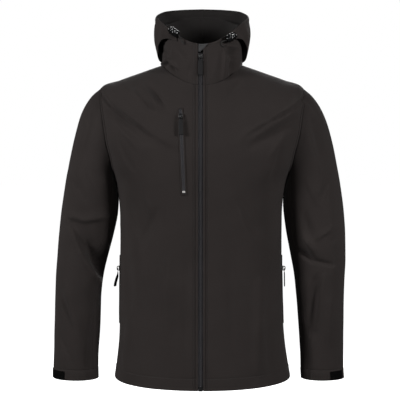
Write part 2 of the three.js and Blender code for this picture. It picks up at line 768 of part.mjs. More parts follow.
for (const [name, side] of sides) {
  const tape = zipBand([chainWidth / 2 + seamGap, 6, tapeReach].map((x) => side * x), hemRow - 0.1);
  add(`main_zip_tape_${name}`, wall(tape, tapeThickness, -clothThickness - 0.4), 'zipTape');
}
const chainEndRow = hemRow - 0.35;
const chain = zipBand([-chainWidth / 2, chainWidth / 2], chainEndRow);
add('main_zip_chain', wall(chain, 2.2, -chainSunk), 'zipChain');
addSliderAndPuller('main', centreFrame('collar', sliderRow, 0), -chainSunk + seamGap);

const boxOutline = roundedOutline(8, -zipBoxHeight, 0, 1.5);
const boxSeat = placedOn(centreFrame('front', chainEndRow, 0), -chainSunk);
boxSeat.multiply(new THREE.Matrix4().makeTranslation(0, 0, -seamGap));
add('main_zip_box', plate(boxOutline, 2.2, 1), 'slider', boxSeat);

// Chin guard: a folded corner of cloth over the top of the zip
const guardRows = spread(2.36, collarTop, 3);
const guard = guardRows.map((row, k) => {
  const rightEdge = -4.5;
  const leftEdge = mix(-1.5, 17, k / (guardRows.length - 1));
  return spread(rightEdge, leftEdge, 3).map((x) => collarFrame(angleAt(collar, row, x), row));
});
add('chin_guard', wall(guard, 1.2, onCloth + 1.2), 'cloth');

// Chest pocket zip on the wearer's right
const chestTop = new THREE.Vector2(-44.5, -100);
const chestEnd = new THREE.Vector2(-36.5, -286);
const chestSliderAt = 0.09;
const chestRun = chestEnd.clone().sub(chestTop);
const chestUp = new THREE.Vector3(-chestRun.x, 0, -chestRun.y).normalize();

function chestFrame(along, across) {
  const place = chestTop.clone().addScaledVector(chestRun, along);
  return seenAt(frontGrids[-1], place.x + across, place.y);
}

const chestStrip = spread(0, 1, 16).map(
  (along) => [-1, 0, 1].map((k) => chestFrame(along, k * stripWidth / 2)),
);
add('chest_zip', wall(chestStrip, stripThickness, onCloth + stripThickness), 'zipChain');
const onStrip = onCloth + stripThickness + seamGap;
addSliderAndPuller('chest', chestFrame(chestSliderAt, 0), onStrip, chestUp);
add(
  'chest_end_stop',
  plate(roundedOutline(6, -2.5, 2.5, 1), 1.2),
  'endStop',
  placedOn(chestFrame(0.975, 0), onStrip, chestUp),
);

// Hand pocket zips, close to the side seams
const handColumns = [10.75, 11, 11.25];
const handTopRow = 17.9; // of the panel's grid
const handEndRow = 21.1;
const handSliderRow = 18.5;

for (const [name, side] of sides) {
  const lines = [handTopRow, 18, 18.5, 19, 19.5, 20, 20.5, handEndRow];
  const strip = lines.map((row) => handColumns.map((column) => onGrid(frontGrids[side], column, row)));
  add(`hand_zip_${name}`, wall(strip, stripThickness, onCloth + stripThickness), 'zipChain');
  const seat = onGrid(frontGrids[side], 11, handSliderRow);
  addSliderAndPuller(`hand_${name}`, seat, onStrip);
}

// Cuffs: a tab sewn into the sleeve's seam that points outwards, and the loop patch that it closes on
const cuffTopLine = 16.75; // of the sleeve's grid
const cuffLowLine = 17.92;
const tabThickness = 1.8;
const patchThickness = 1;
const cuffs = {
  right: { side: -1, tabEnd: 66, tabRoot: 144, patchStart: -14 },
  left: { side: 1, tabEnd: 74, tabRoot: 126, patchStart: 30 },
};

function cuffBand(side, fromTurn, toTurn) {
  const grid = sleeveGrid(side, topSeamBack, topSeamFront, 15);
  const column = (turn) => (turn + 126) / 18;
  const [first, last] = [column(fromTurn), column(toTurn)];
  const [firstWhole, lastWhole] = [Math.ceil(first + 0.01), Math.ceil(last - 0.01) - 1];
  const columns = [first, ...spread(firstWhole, lastWhole, lastWhole - firstWhole), last];
  return [cuffTopLine, 17, 17.5, cuffLowLine].map((line) => columns.map((c) => onGrid(grid, c, line)));
}

for (const [name, { side, tabEnd, tabRoot, patchStart }] of Object.entries(cuffs)) {
  const tab = cuffBand(side, tabEnd, tabRoot);
  add(`cuff_tab_${name}`, wall(tab, tabThickness, onCloth + tabThickness), 'cloth');
  const patch = cuffBand(side, patchStart, tabEnd - 1);
  add(`cuff_patch_${name}`, wall(patch, patchThickness, onCloth + patchThickness), 'loopPatch');
}

// Hood drawcord: a barrel lock at each front end of the rim, and the cord's free ends
const lockLength = 21;
const lockRadius = 7.5;
const locks = {
  right: { place: [-60, -78.4, 71], along: [0.8, -0.1, -0.55] },
  left: { place: [69, -77.7, 59], along: [-0.82, -0.1, -0.5] },
};

function lockShape() {
  const half = lockLength / 2;
  const profile = [
    [0, -half], [4.6, -half], [5.2, -half + 1], [5.2, -half + 4], [6.6, -half + 4.4],
    [lockRadius, -half + 8], [lockRadius, half - 5], [6.4, half - 1.2], [4.4, half], [0, half],
  ];
  return new THREE.LatheGeometry(profile.map(([r, h]) => new THREE.Vector2(r, h)), 14);
}

const cords = {
  right: [
    [-51.2, -81.2, 64.8], [-48, -82, 62], [-45.2, -82.6, 58.6], [-43, -82.6, 54.4], [-41, -82, 50],
    [-38.4, -81.6, 46.2], [-35, -81.6, 43.4],
  ],
  left: [
    [59.5, -78.9, 53.4], [56, -80, 51.6], [51.6, -80.4, 51], [47.8, -80.6, 49], [46, -80, 45],
    [47, -79, 41], [50.4, -77.4, 38.6], [54.4, -75.6, 38.8],
  ],
};

function cordShape(points) {
  const section = new THREE.Shape();
  section.absarc(0, 0, cordDiameter / 2, 0, 2 * Math.PI);
  const path = new THREE.CatmullRomCurve3(points.map((p) => new THREE.Vector3(...p)));
  const settings = { steps: 12, extrudePath: path, curveSegments: 4, bevelEnabled: false };
  return new THREE.ExtrudeGeometry(section, settings);
}

for (const [name, { place, along }] of Object.entries(locks)) {
  const turn = new THREE.Quaternion().setFromUnitVectors(
    new THREE.Vector3(0, 1, 0),
    new THREE.Vector3(...along).normalize(),
  );
  const seat = new THREE.Matrix4().compose(new THREE.Vector3(...place), turn, new THREE.Vector3(1, 1, 1));
  add(`cord_lock_${name}`, lockShape(), 'lock', seat);
  add(`drawcord_${name}`, cordShape(cords[name]), 'cord');
}

export default jacket;
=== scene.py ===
# A hooded softshell jacket, filled out as if it were worn, with its sleeves hanging at its sides.
# Sides are the wearer's. The front faces -Y, +X is the wearer's left, and lengths in tables are in mm.
import json
import math
from functools import partial
import bmesh
import bpy
import numpy as np
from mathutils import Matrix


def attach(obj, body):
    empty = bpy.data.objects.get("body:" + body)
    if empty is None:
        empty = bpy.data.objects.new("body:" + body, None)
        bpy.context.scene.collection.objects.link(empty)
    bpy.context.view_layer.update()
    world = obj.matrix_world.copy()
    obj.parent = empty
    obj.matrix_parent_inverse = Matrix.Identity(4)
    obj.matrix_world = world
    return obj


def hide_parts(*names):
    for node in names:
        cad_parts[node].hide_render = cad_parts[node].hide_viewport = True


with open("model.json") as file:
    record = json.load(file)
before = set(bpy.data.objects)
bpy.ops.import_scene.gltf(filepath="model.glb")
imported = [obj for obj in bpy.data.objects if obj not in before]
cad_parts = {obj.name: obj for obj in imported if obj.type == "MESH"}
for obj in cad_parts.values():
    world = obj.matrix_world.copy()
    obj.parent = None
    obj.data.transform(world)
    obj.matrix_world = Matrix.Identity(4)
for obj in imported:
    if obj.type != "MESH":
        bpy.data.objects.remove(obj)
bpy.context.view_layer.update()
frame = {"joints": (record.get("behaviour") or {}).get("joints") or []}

# Camera: level with the jacket's chest and turned a little down, far enough back for a flat, even view.
camera = bpy.data.objects.new("camera", bpy.data.cameras.new("camera"))
bpy.context.scene.collection.objects.link(camera)
camera.data.lens = 105.65
camera.location = (-0.00115, -2.7, -0.124)
camera.rotation_euler = (math.radians(90 - 3.9), 0, 0)
bpy.context.scene.camera = camera

# Drawcord: a round braided polyester cord, 2.8 mm thick, that runs in the hood's rim. Each end comes out
# of the rim, passes through a spring lock and hangs free below it, heat-cut at its tip.
CORD_DIAMETER = 2.8
CORD_PATHS = {
    "right": [
        (-66.5, -71.5, 77.6), (-68.2, -76.2, 77), (-64.5, -78.2, 74.2), (-60, -78.6, 71),
        (-55.5, -79.6, 67.8), (-51.2, -81.2, 64.8), (-48, -82, 62), (-45.2, -82.6, 58.6),
        (-43, -82.6, 54.4), (-41, -82, 50), (-38.4, -81.6, 46.2), (-35, -81.6, 43.4),
    ],
    "left": [
        (77, -70.4, 67.4), (78.2, -75, 65.6), (74, -76.8, 62.4), (69, -77.8, 59), (64, -78.4, 56),
        (59.5, -78.9, 53.4), (56, -80, 51.6), (51.6, -80.4, 51), (47.8, -80.6, 49), (46, -80, 45),
        (47, -79, 41), (50.4, -77.4, 38.6), (54.4, -75.6, 38.8),
    ],
}


def through(column, position):
    """Reads a column of a table between its rows, on the smooth curve through all of them (Catmull-Rom)."""
    column = np.asarray(column, float)
    position = np.asarray(position, float)
    longer = np.concatenate([[2 * column[0] - column[1]], column, [2 * column[-1] - column[-2]]])
    i = np.clip(np.floor(position).astype(int), 0, len(column) - 2)
    t = position - i
    before, start, end, after = longer[i], longer[i + 1], longer[i + 2], longer[i + 3]
    slope_in, slope_out, gap = (end - before) / 2, (after - start) / 2, end - start
    return (start + slope_in * t + (3 * gap - 2 * slope_in - slope_out) * t ** 2
            + (slope_in + slope_out - 2 * gap) * t ** 3)


def smooth_path(stops, count):
    """Points at even steps of the parameter on the smooth curve through the stops."""
    position = np.linspace(0, len(stops) - 1, count)
    stops = np.array(stops, float)
    return np.stack([through(stops[:, k], position) for k in range(3)], -1)


def unit(vectors):
    """Vectors of length one."""
    return vectors / np.maximum(np.linalg.norm(vectors, axis=-1, keepdims=True), 1e-12)


def run_along(points, axis):
    """Distance covered along a grid's lines, from their first point to each of the others."""
    steps = np.linalg.norm(np.diff(points, axis=axis), axis=-1)
    start = np.zeros_like(np.take(steps, [0], axis=axis))
    return np.concatenate([start, np.cumsum(steps, axis=axis)], axis=axis)


def mesh_object(name, points, faces, uv=None, kinds=None):
    """Puts points, faces and a map in metres into a new object; kinds are the faces' material places."""
    mesh = bpy.data.meshes.new(name)
    mesh.from_pydata(points.tolist(), [], faces.tolist() if isinstance(faces, np.ndarray) else faces)
    if uv is not None:
        corners = np.empty(len(mesh.loops), int)
        mesh.loops.foreach_get("vertex_index", corners)
        mesh.uv_layers.new(name="cloth").data.foreach_set("uv", uv[corners].ravel())
    if kinds is not None:
        mesh.polygons.foreach_set("material_index", kinds)
    mesh.polygons.foreach_set("use_smooth", np.ones(len(mesh.polygons), bool))
    made = bpy.data.objects.new(name, mesh)
    bpy.context.scene.collection.objects.link(made)
    return made


def skin(rings, looped=False):
    """A closed skin over rings of points that follow one another: each end is closed on the point in its
    middle, or, where it is looped, the last ring joins the first. Returns its points, faces and map."""
    count, around = rings.shape[:2]
    rows = count if looped else count - 1
    i, j = np.meshgrid(np.arange(rows), np.arange(around), indexing="ij")
    i_next, j_next = (i + 1) % count, (j + 1) % around
    quads = np.stack([i * around + j, i * around + j_next, i_next * around + j_next, i_next * around + j], -1)
    girth = run_along(np.concatenate([rings, rings[:, :1]], 1), 1)[:, -1].mean()
    turn = np.linspace(0, girth, around, endpoint=False)
    uv = np.stack(np.meshgrid(run_along(rings, 0).mean(1), turn, indexing="ij"), -1).reshape(-1, 2)
    points, faces = rings.reshape(-1, 3), quads.reshape(-1, 4).tolist()
    if not looped:
        points = np.concatenate([points, rings[:1].mean(1), rings[-1:].mean(1)])
        uv = np.concatenate([uv, uv[:1], uv[-1:]])
        ring, following = np.arange(around), (np.arange(around) + 1) % around
        middle, last = np.full(around, count * around), (count - 1) * around
        faces += np.stack([middle, following, ring], -1).tolist()
        faces += np.stack([middle + 1, last + ring, last + following], -1).tolist()
    return points, faces, uv


def turned_outwards(mesh):
    """Turns all faces of a closed mesh outwards."""
    work = bmesh.new()
    work.from_mesh(mesh)
    bmesh.ops.recalc_face_normals(work, faces=work.faces)
    work.to_mesh(mesh)
    work.free()


def gathered(name, *skins):
    """One object from several closed skins, turned so that all faces point outwards."""
    points, faces, uv, count = [], [], [], 0
    for own_points, own_faces, own_uv in skins:
        faces += [[count + k for k in face] for face in own_faces]
        points.append(own_points)
        uv.append(own_uv)
        count += len(own_points)
    made = mesh_object(name, np.concatenate(points), faces, np.concatenate(uv))
    turned_outwards(made.data)
    return made


def tube(path, radius, around=12, reference=(0, 0.35, 1)):
    """Rings of a round section carried along a path; the section's own axes are set by a fixed direction."""
    tangent = unit(np.gradient(path, axis=0))
    side = unit(np.cross(tangent, np.array(reference, float)))
    top = np.cross(side, tangent)
    turn = np.linspace(0, 2 * np.pi, around, endpoint=False)[None, :, None]
    radius = np.broadcast_to(radius, len(path))[:, None, None]
    return path[:, None] + radius * (side[:, None] * np.cos(turn) + top[:, None] * np.sin(turn))


class Socket:
    """A value in a material, on which arithmetic adds the Math nodes that work it out."""

    def __init__(self, finish, socket):
        self.finish, self.socket = finish, socket

    def _math(self, operation, first, second=0.0):
        return self.finish.node("Math", {"operation": operation}, {0: first, 1: second})

    def __add__(self, other):
        return self._math("ADD", self, other)

    __radd__ = __add__

    def __mul__(self, other):
        return self._math("MULTIPLY", self, other)

    __rmul__ = __mul__

    def __sub__(self, other):
        return self._math("SUBTRACT", self, other)

    def __rsub__(self, other):
        return self._math("SUBTRACT", other, self)

    def sine(self):
        return self._math("SINE", self)

    def clamped(self):
        return self.finish.node("Clamp", {}, {0: self})


class Finish:
    """A material being made: a principled shader and the nodes that feed it."""

    def __init__(self, name, **constants):
        self.material = bpy.data.materials.new(name)
        self.material.use_nodes = True
        self.tree = self.material.node_tree
        self.shader = self.tree.nodes["Principled BSDF"]
        for key, value in constants.items():
            self.feed(self.shader.inputs[key.replace("_", " ")], value)

    def node(self, kind, settings=None, inputs=None, output=0):
        made = self.tree.nodes.new("ShaderNode" + kind)
        for key, value in (settings or {}).items():
            setattr(made, key, value)
        for key, value in (inputs or {}).items():
            self.feed(made.inputs[key], value)
        return Socket(self, made.outputs[output])

    def feed(self, socket, value):
        if isinstance(value, Socket):
            self.tree.links.new(value.socket, socket)
        else:
            socket.default_value = value

    def noise(self, scale, detail=2.0, place=None):
        place = place or self.node("TexCoord", output=3)
        return self.node("TexNoise", {}, {"Vector": place, "Scale": scale, "Detail": detail})

    def blend(self, share, low, high):
        return self.node("Mix", {"data_type": "RGBA"}, {0: share, 6: low, 7: high}, output=2)

    def paint(self, colour, roughness=None, height=None, depth=0.0003):
        """Feeds the shader a colour, a roughness, and a bump that stands depth metres high."""
        self.feed(self.shader.inputs["Base Color"], colour)
        if roughness is not None:
            self.feed(self.shader.inputs["Roughness"], roughness)
        if height is not None:
            bump = self.node("Bump", {}, {"Strength": 1.0, "Distance": depth, "Height": height})
            self.feed(self.shader.inputs["Normal"], bump)
        return self.material

    def across_and_along(self):
        """The two coordinates of the piece's own map, in metres."""
        place = self.node("UVMap", {"uv_map": "cloth"})
        split = self.tree.nodes.new("ShaderNodeSeparateXYZ")
        self.tree.links.new(place.socket, split.inputs[0])
        return Socket(self, split.outputs[0]), Socket(self, split.outputs[1])


def on_body(piece, body, material_slot, materials, *nodes):
    """Gives a finished piece its materials, hangs it on the body that carries it, and hides the nodes it
    stands for.
    """
    for material in materials:
        piece.data.materials.append(material)
    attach(piece, body)
    if nodes:
        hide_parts(*nodes)
    return piece


def braid(name, colour, fleck):
    """A braided cord: two sets of strands that wind round it and pass over each other."""
    finish = Finish(name, Specular_IOR_Level=0.35)
    along, around = finish.across_and_along()
    one = (along * 1900 + around * 2300).sine()
    other = (along * 1900 - around * 2300).sine()
    strands = one * other * 0.5 + 0.5
    tone = finish.blend(strands, colour, fleck)
    return finish.paint(tone, strands * -0.15 + 0.8, strands, 0.0004)


CORD = braid("drawcord", (0.004, 0.0038, 0.0036, 1), (0.02, 0.018, 0.0165, 1))
cord_points = {}
for side_name, stops in CORD_PATHS.items():
    path = smooth_path(np.array(stops) / 1000, 90)
    radius = np.full(len(path), CORD_DIAMETER / 2000)
    radius[-3:] *= (0.97, 0.8, 0.35)
    drawcord = gathered(f"cord_{side_name}", skin(tube(path, radius)))
    on_body(drawcord, "jacket", "drawcord", [CORD], f"drawcord_{side_name}")
    cord_points[side_name] = (drawcord, path)

# Cord locks: black gloss barrels of moulded polyamide, each with a spring-loaded button in one end and
# a cross hole for the cord. The cord holds them in place at the front ends of the hood.
LOCK_SEATS = {
    "right": ((-60, -78.4, 71), (0.8, -0.1, -0.55)),
    "left": ((69, -77.7, 59), (-0.82, -0.1, -0.5)),
}
LOCK_SCALE, LOCK_MIDDLE = 1.18, 10.5
LOCK_PROFILE = [
    (0, 0.4), (0, 3.6), (0.3, 4.6), (1, 5.2), (2.6, 5.3), (3.1, 4.6), (3.9, 4.4), (4.2, 6.1), (4.6, 7.1),
    (5.4, 7.6), (6.4, 7.6), (7, 6.9), (8, 6.6), (9.4, 6.6), (10.2, 7), (10.8, 7.6), (12, 7.7), (12.8, 7.1),
    (14, 6.8), (16.4, 6.8), (17.2, 7.1), (18.2, 7), (19.8, 6.1), (20.6, 5), (20.9, 3.9), (21, 3.4),
    (20.2, 2.9), (19.8, 1.2), (19.8, 0.3),
]


def gloss_plastic(name, colour):
    """Black moulded plastic: gloss with faint moulding ripples and fine scuffs."""
    finish = Finish(name, Specular_IOR_Level=0.6)
    scuff = finish.noise(420, 4)
    ripple = finish.noise(160, 1)
    tone = finish.blend(scuff, colour, tuple(c * 1.7 for c in colour[:3]) + (1,))
    return finish.paint(tone, scuff * 0.05 + 0.03, ripple, 0.0001)


LOCK = gloss_plastic("lock_plastic", (0.002, 0.002, 0.0022, 1))
for side_name, (place, along) in LOCK_SEATS.items():
    along = unit(np.array(along))
    stations = np.array(LOCK_PROFILE)
    line = np.array(place) / 1000 + along * (stations[:, :1] - LOCK_MIDDLE) * LOCK_SCALE / 1000
    side = unit(np.cross(along, (0.0, 1.0, 0.3)))
    top = np.cross(side, along)
    turn = np.linspace(0, 2 * np.pi, 40, endpoint=False)[None, :, None]
    radius = stations[:, 1][:, None, None] * LOCK_SCALE / 1000
    barrel = line[:, None] + radius * (side * np.cos(turn) + top * np.sin(turn))
    lock = gathered(f"lock_{side_name}", skin(barrel))
    on_body(lock, "jacket", "cord_lock", [LOCK], f"cord_lock_{side_name}")
    drawcord, path = cord_points[side_name]

# Fronts and back: three-layer softshell, a matt woven polyester face bonded to a soft knitted back. Each
# panel is cut flat and sewn at the shoulders and side seams; the armholes are topstitched in two rows.
SECTION_COLUMNS = "side_z front_z back_z centre_x half_width front back squareness".split()
TORSO = dict(zip(SECTION_COLUMNS, zip(
    (0, -47, 14, 4, 92, 92, 72, 2.0),
    (-16, -63, -6, 4, 138, 101, 87, 2.0),
    (-33, -86, -36, 4, 186, 110, 101, 2.1),
    (-51, -117, -75, 3.5, 230, 119, 112, 2.3),
    (-103, -156, -122, 3.5, 237, 126, 118, 2.7),
    (-158, -196, -170, 3, 231, 131, 121, 3.0),
    (-211, -234, -218, 2, 213, 132, 120, 3.0),
    (-262, -272, -266, 1, 194, 131, 117, 2.8),
    (-327, -330, -328, 1, 186.5, 128.5, 113, 2.6),
    (-400, -401, -400, 1, 185.5, 126, 110, 2.5),
    (-474, -475, -474, 1, 186.5, 126, 112, 2.5),
    (-549, -550, -549, 1.5, 188, 128, 118, 2.5),
    (-624, -627, -623, 3, 191, 131, 125, 2.5),
    (-681, -687, -679, 4, 198, 135, 130, 2.5),
    (-714, -723, -712, 4.5, 203, 138, 133, 2.5),
)))
TIP_ROW, ARMPIT_ROW, HEM_ROW = 3, 7, 14
ZIP_OPENING = 11.4
# Folds: start x and z, end x and z, width, height; a negative height is a trough. The last few of each
# list are the finer creases between the main folds.
FRONT_FOLDS = [
    (-165, -52, -88, -100, 15, 5), (-150, -50, -110, -102, 6, -5), (-114, -44, -78, -94, 5.5, -4.5),
    (-130, -48, -94, -98, 6, 4), (-212, -78, -112, -150, 16, 5),
    (-224, -66, -200, -93, 5, -5), (-200, -93, -150, -131, 6, -5.5), (-150, -131, -112, -160, 8, -4),
    (238, -70, 206, -97, 5, -5), (206, -97, 160, -124, 6, -5.5), (160, -124, 104, -158, 8, -4.5),
    (-112, -150, -60, -178, 15, 4), (-200, -112, -124, -172, 15, -5), (226, -74, 190, -106, 15, 5),
    (190, -106, 92, -162, 16, 6), (208, -124, 116, -178, 15, -5), (86, -38, 64, -64, 10, -3),
    (-158, -318, -140, -376, 13, -2.6), (-98, -326, -132, -400, 15, -2.4), (-178, -380, -158, -560, 16, -5),
    (-158, -560, -174, -700, 18, 4), (158, -470, 148, -566, 14, -2.5), (148, -566, 160, -700, 16, -3),
    (130, -490, 126, -680, 20, 5),
    (-186, -132, -140, -188, 6, 1.8), (-178, -176, -150, -232, 8, -2), (188, -150, 150, -206, 7, 1.8),
    (176, -190, 158, -250, 8, -2), (-120, -296, -108, -330, 7, 1.5), (84, -300, 120, -372, 12, -2),
    (62, -420, 74, -640, 16, -1.8), (-70, -440, -84, -660, 17, 2), (-30, -420, -34, -690, 12, -1.2),
    (168, -392, 150, -452, 8, 2),
]
BACK_FOLDS = [
    (-195, -85, -100, -155, 17, 6), (-175, -130, -85, -190, 15, -5), (200, -90, 112, -164, 17, 5.5),
    (180, -140, 92, -204, 15, -5), (-165, -296, -92, -345, 16, -5), (-150, -345, -56, -392, 17, 5),
    (162, -306, 84, -352, 16, -5.5), (150, -356, 60, -398, 16, 5), (-120, -460, -134, -690, 20, 5),
    (-60, -520, -66, -705, 18, -4), (70, -500, 78, -705, 19, -4.5), (128, -450, 142, -690, 20, 5),
    (-150, -180, -118, -250, 8, 2), (146, -196, 110, -262, 8, -2), (-20, -330, 30, -350, 12, -2),
    (-70, -400, 10, -420, 12, 2), (20, -470, 10, -660, 17, 2), (-96, -600, -100, -705, 9, -1.5),
    (-70, -40, -110, -80, 9, -1.6), (76, -42, 118, -84, 9, 1.6),
]


def fold_height(folds, x, z):
    """How far the folds push the cloth out at x, z (mm): each is a bell across its line, narrower on one
    side than on the other, and fullest half way along."""
    total = np.zeros(np.broadcast(x, z).shape)
    for start_x, start_z, end_x, end_z, width, height in folds:
        run_x, run_z = end_x - start_x, end_z - start_z
        along = ((x - start_x) * run_x + (z - start_z) * run_z) / (run_x ** 2 + run_z ** 2)
        along = np.clip(along, 0, 1)
        off_x, off_z = x - start_x - along * run_x, z - start_z - along * run_z
        steep = 0.75 + 0.2 * np.sign(run_x * off_z - run_z * off_x)
        across = (off_x ** 2 + off_z ** 2) / (width * steep) ** 2
        total += 1.4 * height * np.exp(-across) * (0.45 + 0.55 * np.sin(np.pi * along))
    return total


def unevenness(x, z, phase):
    """The slight slackness of cloth that nothing pulls tight: a few long, low waves that cross (mm)."""
    return (0.9 * np.sin(x / 23 + z / 61 + phase) * np.sin(z / 37 - x / 90 + 2 * phase)
            + 0.55 * np.sin(x / 13 - z / 29 + 3 * phase) * np.sin(z / 17 + x / 41 + phase))


def section(rows, angle, row):
    """A level outline of the body: a superellipse with its own half width, depths and squareness. Its height
    goes from the front's or back's to the sides' with the squared sine of the angle round it."""
    at = {name: through(column, row) for name, column in rows.items()}
    sine, cosine = np.sin(angle), np.cos(angle)
    power = at["squareness"]
    reach = (np.abs(sine) ** power + np.abs(cosine) ** power) ** (-1 / power)
    depth = np.where(cosine > 0, at["front"], at["back"])
    end_z = np.where(cosine > 0, at["front_z"], at["back_z"])
    x = at["centre_x"] + at["half_width"] * reach * sine
    return np.stack([x, -depth * reach * cosine, end_z + (at["side_z"] - end_z) * sine ** 2], -1) / 1000


def normals(surface, a, b, step_a, step_b):
    """Normals of a surface of two parameters, from small steps along both."""
    along_a = surface(a + step_a, b) - surface(a - step_a, b)
    along_b = surface(a, b + step_b) - surface(a, b - step_b)
    return unit(np.cross(along_b, along_a))


def moved(point, normal, distance):
    """Points moved along their normals by distances in mm."""
    return point + normal * np.asarray(distance)[..., None] / 1000


def torso(angle, row):
    """The body's outer face and its normal: level outlines stacked up, with the folds on them."""
    angle, row = np.broadcast_arrays(angle, row)
    point = section(TORSO, angle, row)
    normal = normals(partial(section, TORSO), angle, row, 0.004, 0.02)
    x, z = point[..., 0] * 1000, point[..., 2] * 1000
    in_front = np.cos(angle) > 0
    folds = np.where(in_front, fold_height(FRONT_FOLDS, x, z), fold_height(BACK_FOLDS, x, z))
    folds = folds + unevenness(x, z, np.where(in_front, 0.4, 2.1))
    return moved(point, normal, folds * np.minimum(1, np.abs(np.cos(angle)) / 0.3)), normal


def angle_at(rows, row, x):
    """The angle round a level outline at which it passes a distance x from the centre line."""
    share = (x - through(rows["centre_x"], row)) / through(rows["half_width"], row)
    power = through(rows["squareness"], row)
    across = np.abs(share)
    return np.sign(share) * np.arctan2(across, (1 - across ** power) ** (1 / power))


def armhole_row(turn):
    """The row of the armhole seam at a turn round it: 0 is the shoulder tip, half a turn the armpit."""
    return TIP_ROW + (ARMPIT_ROW - TIP_ROW) * (1 - np.cos(turn)) / 2


def armhole_angle(turn):
    """The angle of the armhole seam: it cuts into the front by 31 degrees and into the back by 36."""
    cut = np.where(np.sin(turn) > 0, math.radians(-31), math.radians(36))
    return np.pi / 2 + cut * np.abs(np.sin(turn))


def panel_edge(row, half):
    """The angle of a panel's outer edge: the shoulder seam, the armhole and then the side seam."""
    share = np.clip((row - TIP_ROW) / (ARMPIT_ROW - TIP_ROW), 0, 1)
    return armhole_angle(half * np.arccos(1 - 2 * share))


def lines_across(surface, first, last, row, start, end, step):
    """Parameters at which lines cross each row: at fixed distances (mm) from its two ends, and between those
    at even steps."""
    dense = first[:, None] + (last - first)[:, None] * np.linspace(0, 1, 240)
    run = run_along(surface(dense, np.broadcast_to(row[:, None], dense.shape))[0], 1) * 1000
    start, end = np.array(start, float), np.array(end, float)[::-1]
    count = int((run[:, -1].mean() - start[-1] - end[0]) / step)
    share = np.linspace(0, 1, count + 1)[1:-1]
    middle = start[-1] + (run[:, -1:] - start[-1] - end[0]) * share
    whole = np.ones((len(row), 1))
    wanted = np.concatenate([whole * start, middle, run[:, -1:] - end], 1)
    return np.stack([np.interp(w, r, d) for w, r, d in zip(wanted, run, dense)])


CLOTH_THICKNESS = 1.5
EDGE = [0, 0.12, 0.4, 0.75, 1.3]
FRONT_EDGE = EDGE + [2.6, 4, 5, 5.6, 6, 6.4, 7.2, 8.6, 9.6, 10, 10.4, 11.4, 13]
ARMHOLE_EDGE = EDGE + [1.8, 2.2, 3, 4.5, 6, 7, 7.6, 8, 8.4, 9.2, 11]


def shell(name, point, normal, relief, thickness=CLOTH_THICKNESS, mirrored=False):
    """A panel of cloth with an outer and an inner face. Within a millimetre of its edges they close on each
    other in a half circle, as a pressed seam does. Returns the object and the grid of its outer face."""
    across, along = run_along(point, 1) * 1000, run_along(point, 0) * 1000
    edge = np.minimum(np.minimum(across, across[:, -1:] - across), np.minimum(along, along[-1:] - along))
    round_off = np.sqrt(1 - (1 - np.clip(edge / (thickness / 2), 0, 1)) ** 2) * thickness / 2
    middle = moved(point, normal, relief - thickness / 2)
    outer, inner = moved(middle, normal, round_off), moved(middle, normal, -round_off)
    rows, columns = edge.shape
    number = np.arange(rows * columns).reshape(rows, columns)
    under = number + rows * columns
    under[0], under[-1], under[:, 0], under[:, -1] = number[0], number[-1], number[:, 0], number[:, -1]
    skins = []
    for grid, turned in ((number, mirrored), (under, not mirrored)):
        quads = np.stack([grid[:-1, :-1], grid[1:, :-1], grid[1:, 1:], grid[:-1, 1:]], -1).reshape(-1, 4)
        skins.append(quads[:, ::-1] if turned else quads)
    place = np.stack([across - across.mean(1, keepdims=True), along], -1).reshape(-1, 2) / 1000
    points = np.concatenate([outer.reshape(-1, 3), inner.reshape(-1, 3)])
    kinds = np.repeat([0, 1], len(skins[0])).astype(int)
    used = np.unique(np.concatenate(skins))
    renumber = np.zeros(len(points), int)
    renumber[used] = np.arange(len(used))
    uv = np.concatenate([place, place])[used]
    made = mesh_object(name, points[used], renumber[np.concatenate(skins)], uv, kinds)
    return made, outer


def dip(distance, at, depth=0.75, width=0.9):
    """The soft groove that a row of stitches pulls into the cloth."""
    return -depth * np.exp(-((distance - at) / width) ** 2)


def flat_area(point):
    """The area of a grid of points and its greatest width and length, in metres."""
    cells = np.cross(point[1:, 1:] - point[:-1, :-1], point[1:, :-1] - point[:-1, 1:])
    width, length = run_along(point, 1)[:, -1].max(), run_along(point, 0)[-1].max()
    return float(np.linalg.norm(cells, axis=-1).sum() / 2), float(width), float(length)


def declare_cloth(point, seam_allowance=0.012, length=None):
    """Works out what the piece was cut to: its flat width, length and area, with the seam allowance round it.
    The values are not kept.
    """
    area, width, longest = flat_area(point)
    length = length or longest
    width, length = width + 2 * seam_allowance, length + 2 * seam_allowance
    area += 2 * seam_allowance * (width + length) * 0.9


def softshell(name, colour, lighter):
    """The woven face: a fine plain weave, a nap that catches light at low angles, and faint unevenness."""
    finish = Finish(name, Specular_IOR_Level=0.14, Sheen_Weight=0.05, Sheen_Roughness=0.4)
    across, along = finish.across_and_along()
    weave = (across * 5200).sine() * (along * 5200).sine()
    broad = finish.noise(9, 3)
    fine = finish.noise(900, 2)
    share = (broad * 0.9 + fine * 0.5 - 0.35 + weave * 0.08).clamped()
    tone = finish.blend(share, colour, lighter)
    return finish.paint(tone, 0.92 - fine * 0.14, weave * 0.5 + fine, 0.00018)


def fleece(name, colour, lighter):
    """The bonded knitted back: a short soft pile in small tufts."""
    finish = Finish(name, Specular_IOR_Level=0.1, Sheen_Weight=0.05, Sheen_Roughness=0.6)
    tufts = finish.node("TexVoronoi", {}, {"Scale": 620.0})
    broad = finish.noise(30, 3)
    tone = finish.blend(broad * 0.7 + tufts * 0.4, colour, lighter)
    return finish.paint(tone, 0.97 - tufts * 0.05, tufts, 0.0005)


SHELL = softshell("softshell_face", (0.0185, 0.0150, 0.0141, 1), (0.0265, 0.0217, 0.0204, 1))
# The knitted back's colour is its own dark tone made darker still by painted shade, for the shaded inside of
# the collar and hood.
INSIDE_PAINTED_SHADE = fleece("softshell_back_painted_shade", (0.0075, 0.0065, 0.0062, 1), (0.0135, 0.0118, 0.0112, 1))
CLOTH = [SHELL, INSIDE_PAINTED_SHADE]
SIDES = (("right", -1), ("left", 1))
HEM_STITCH = 27

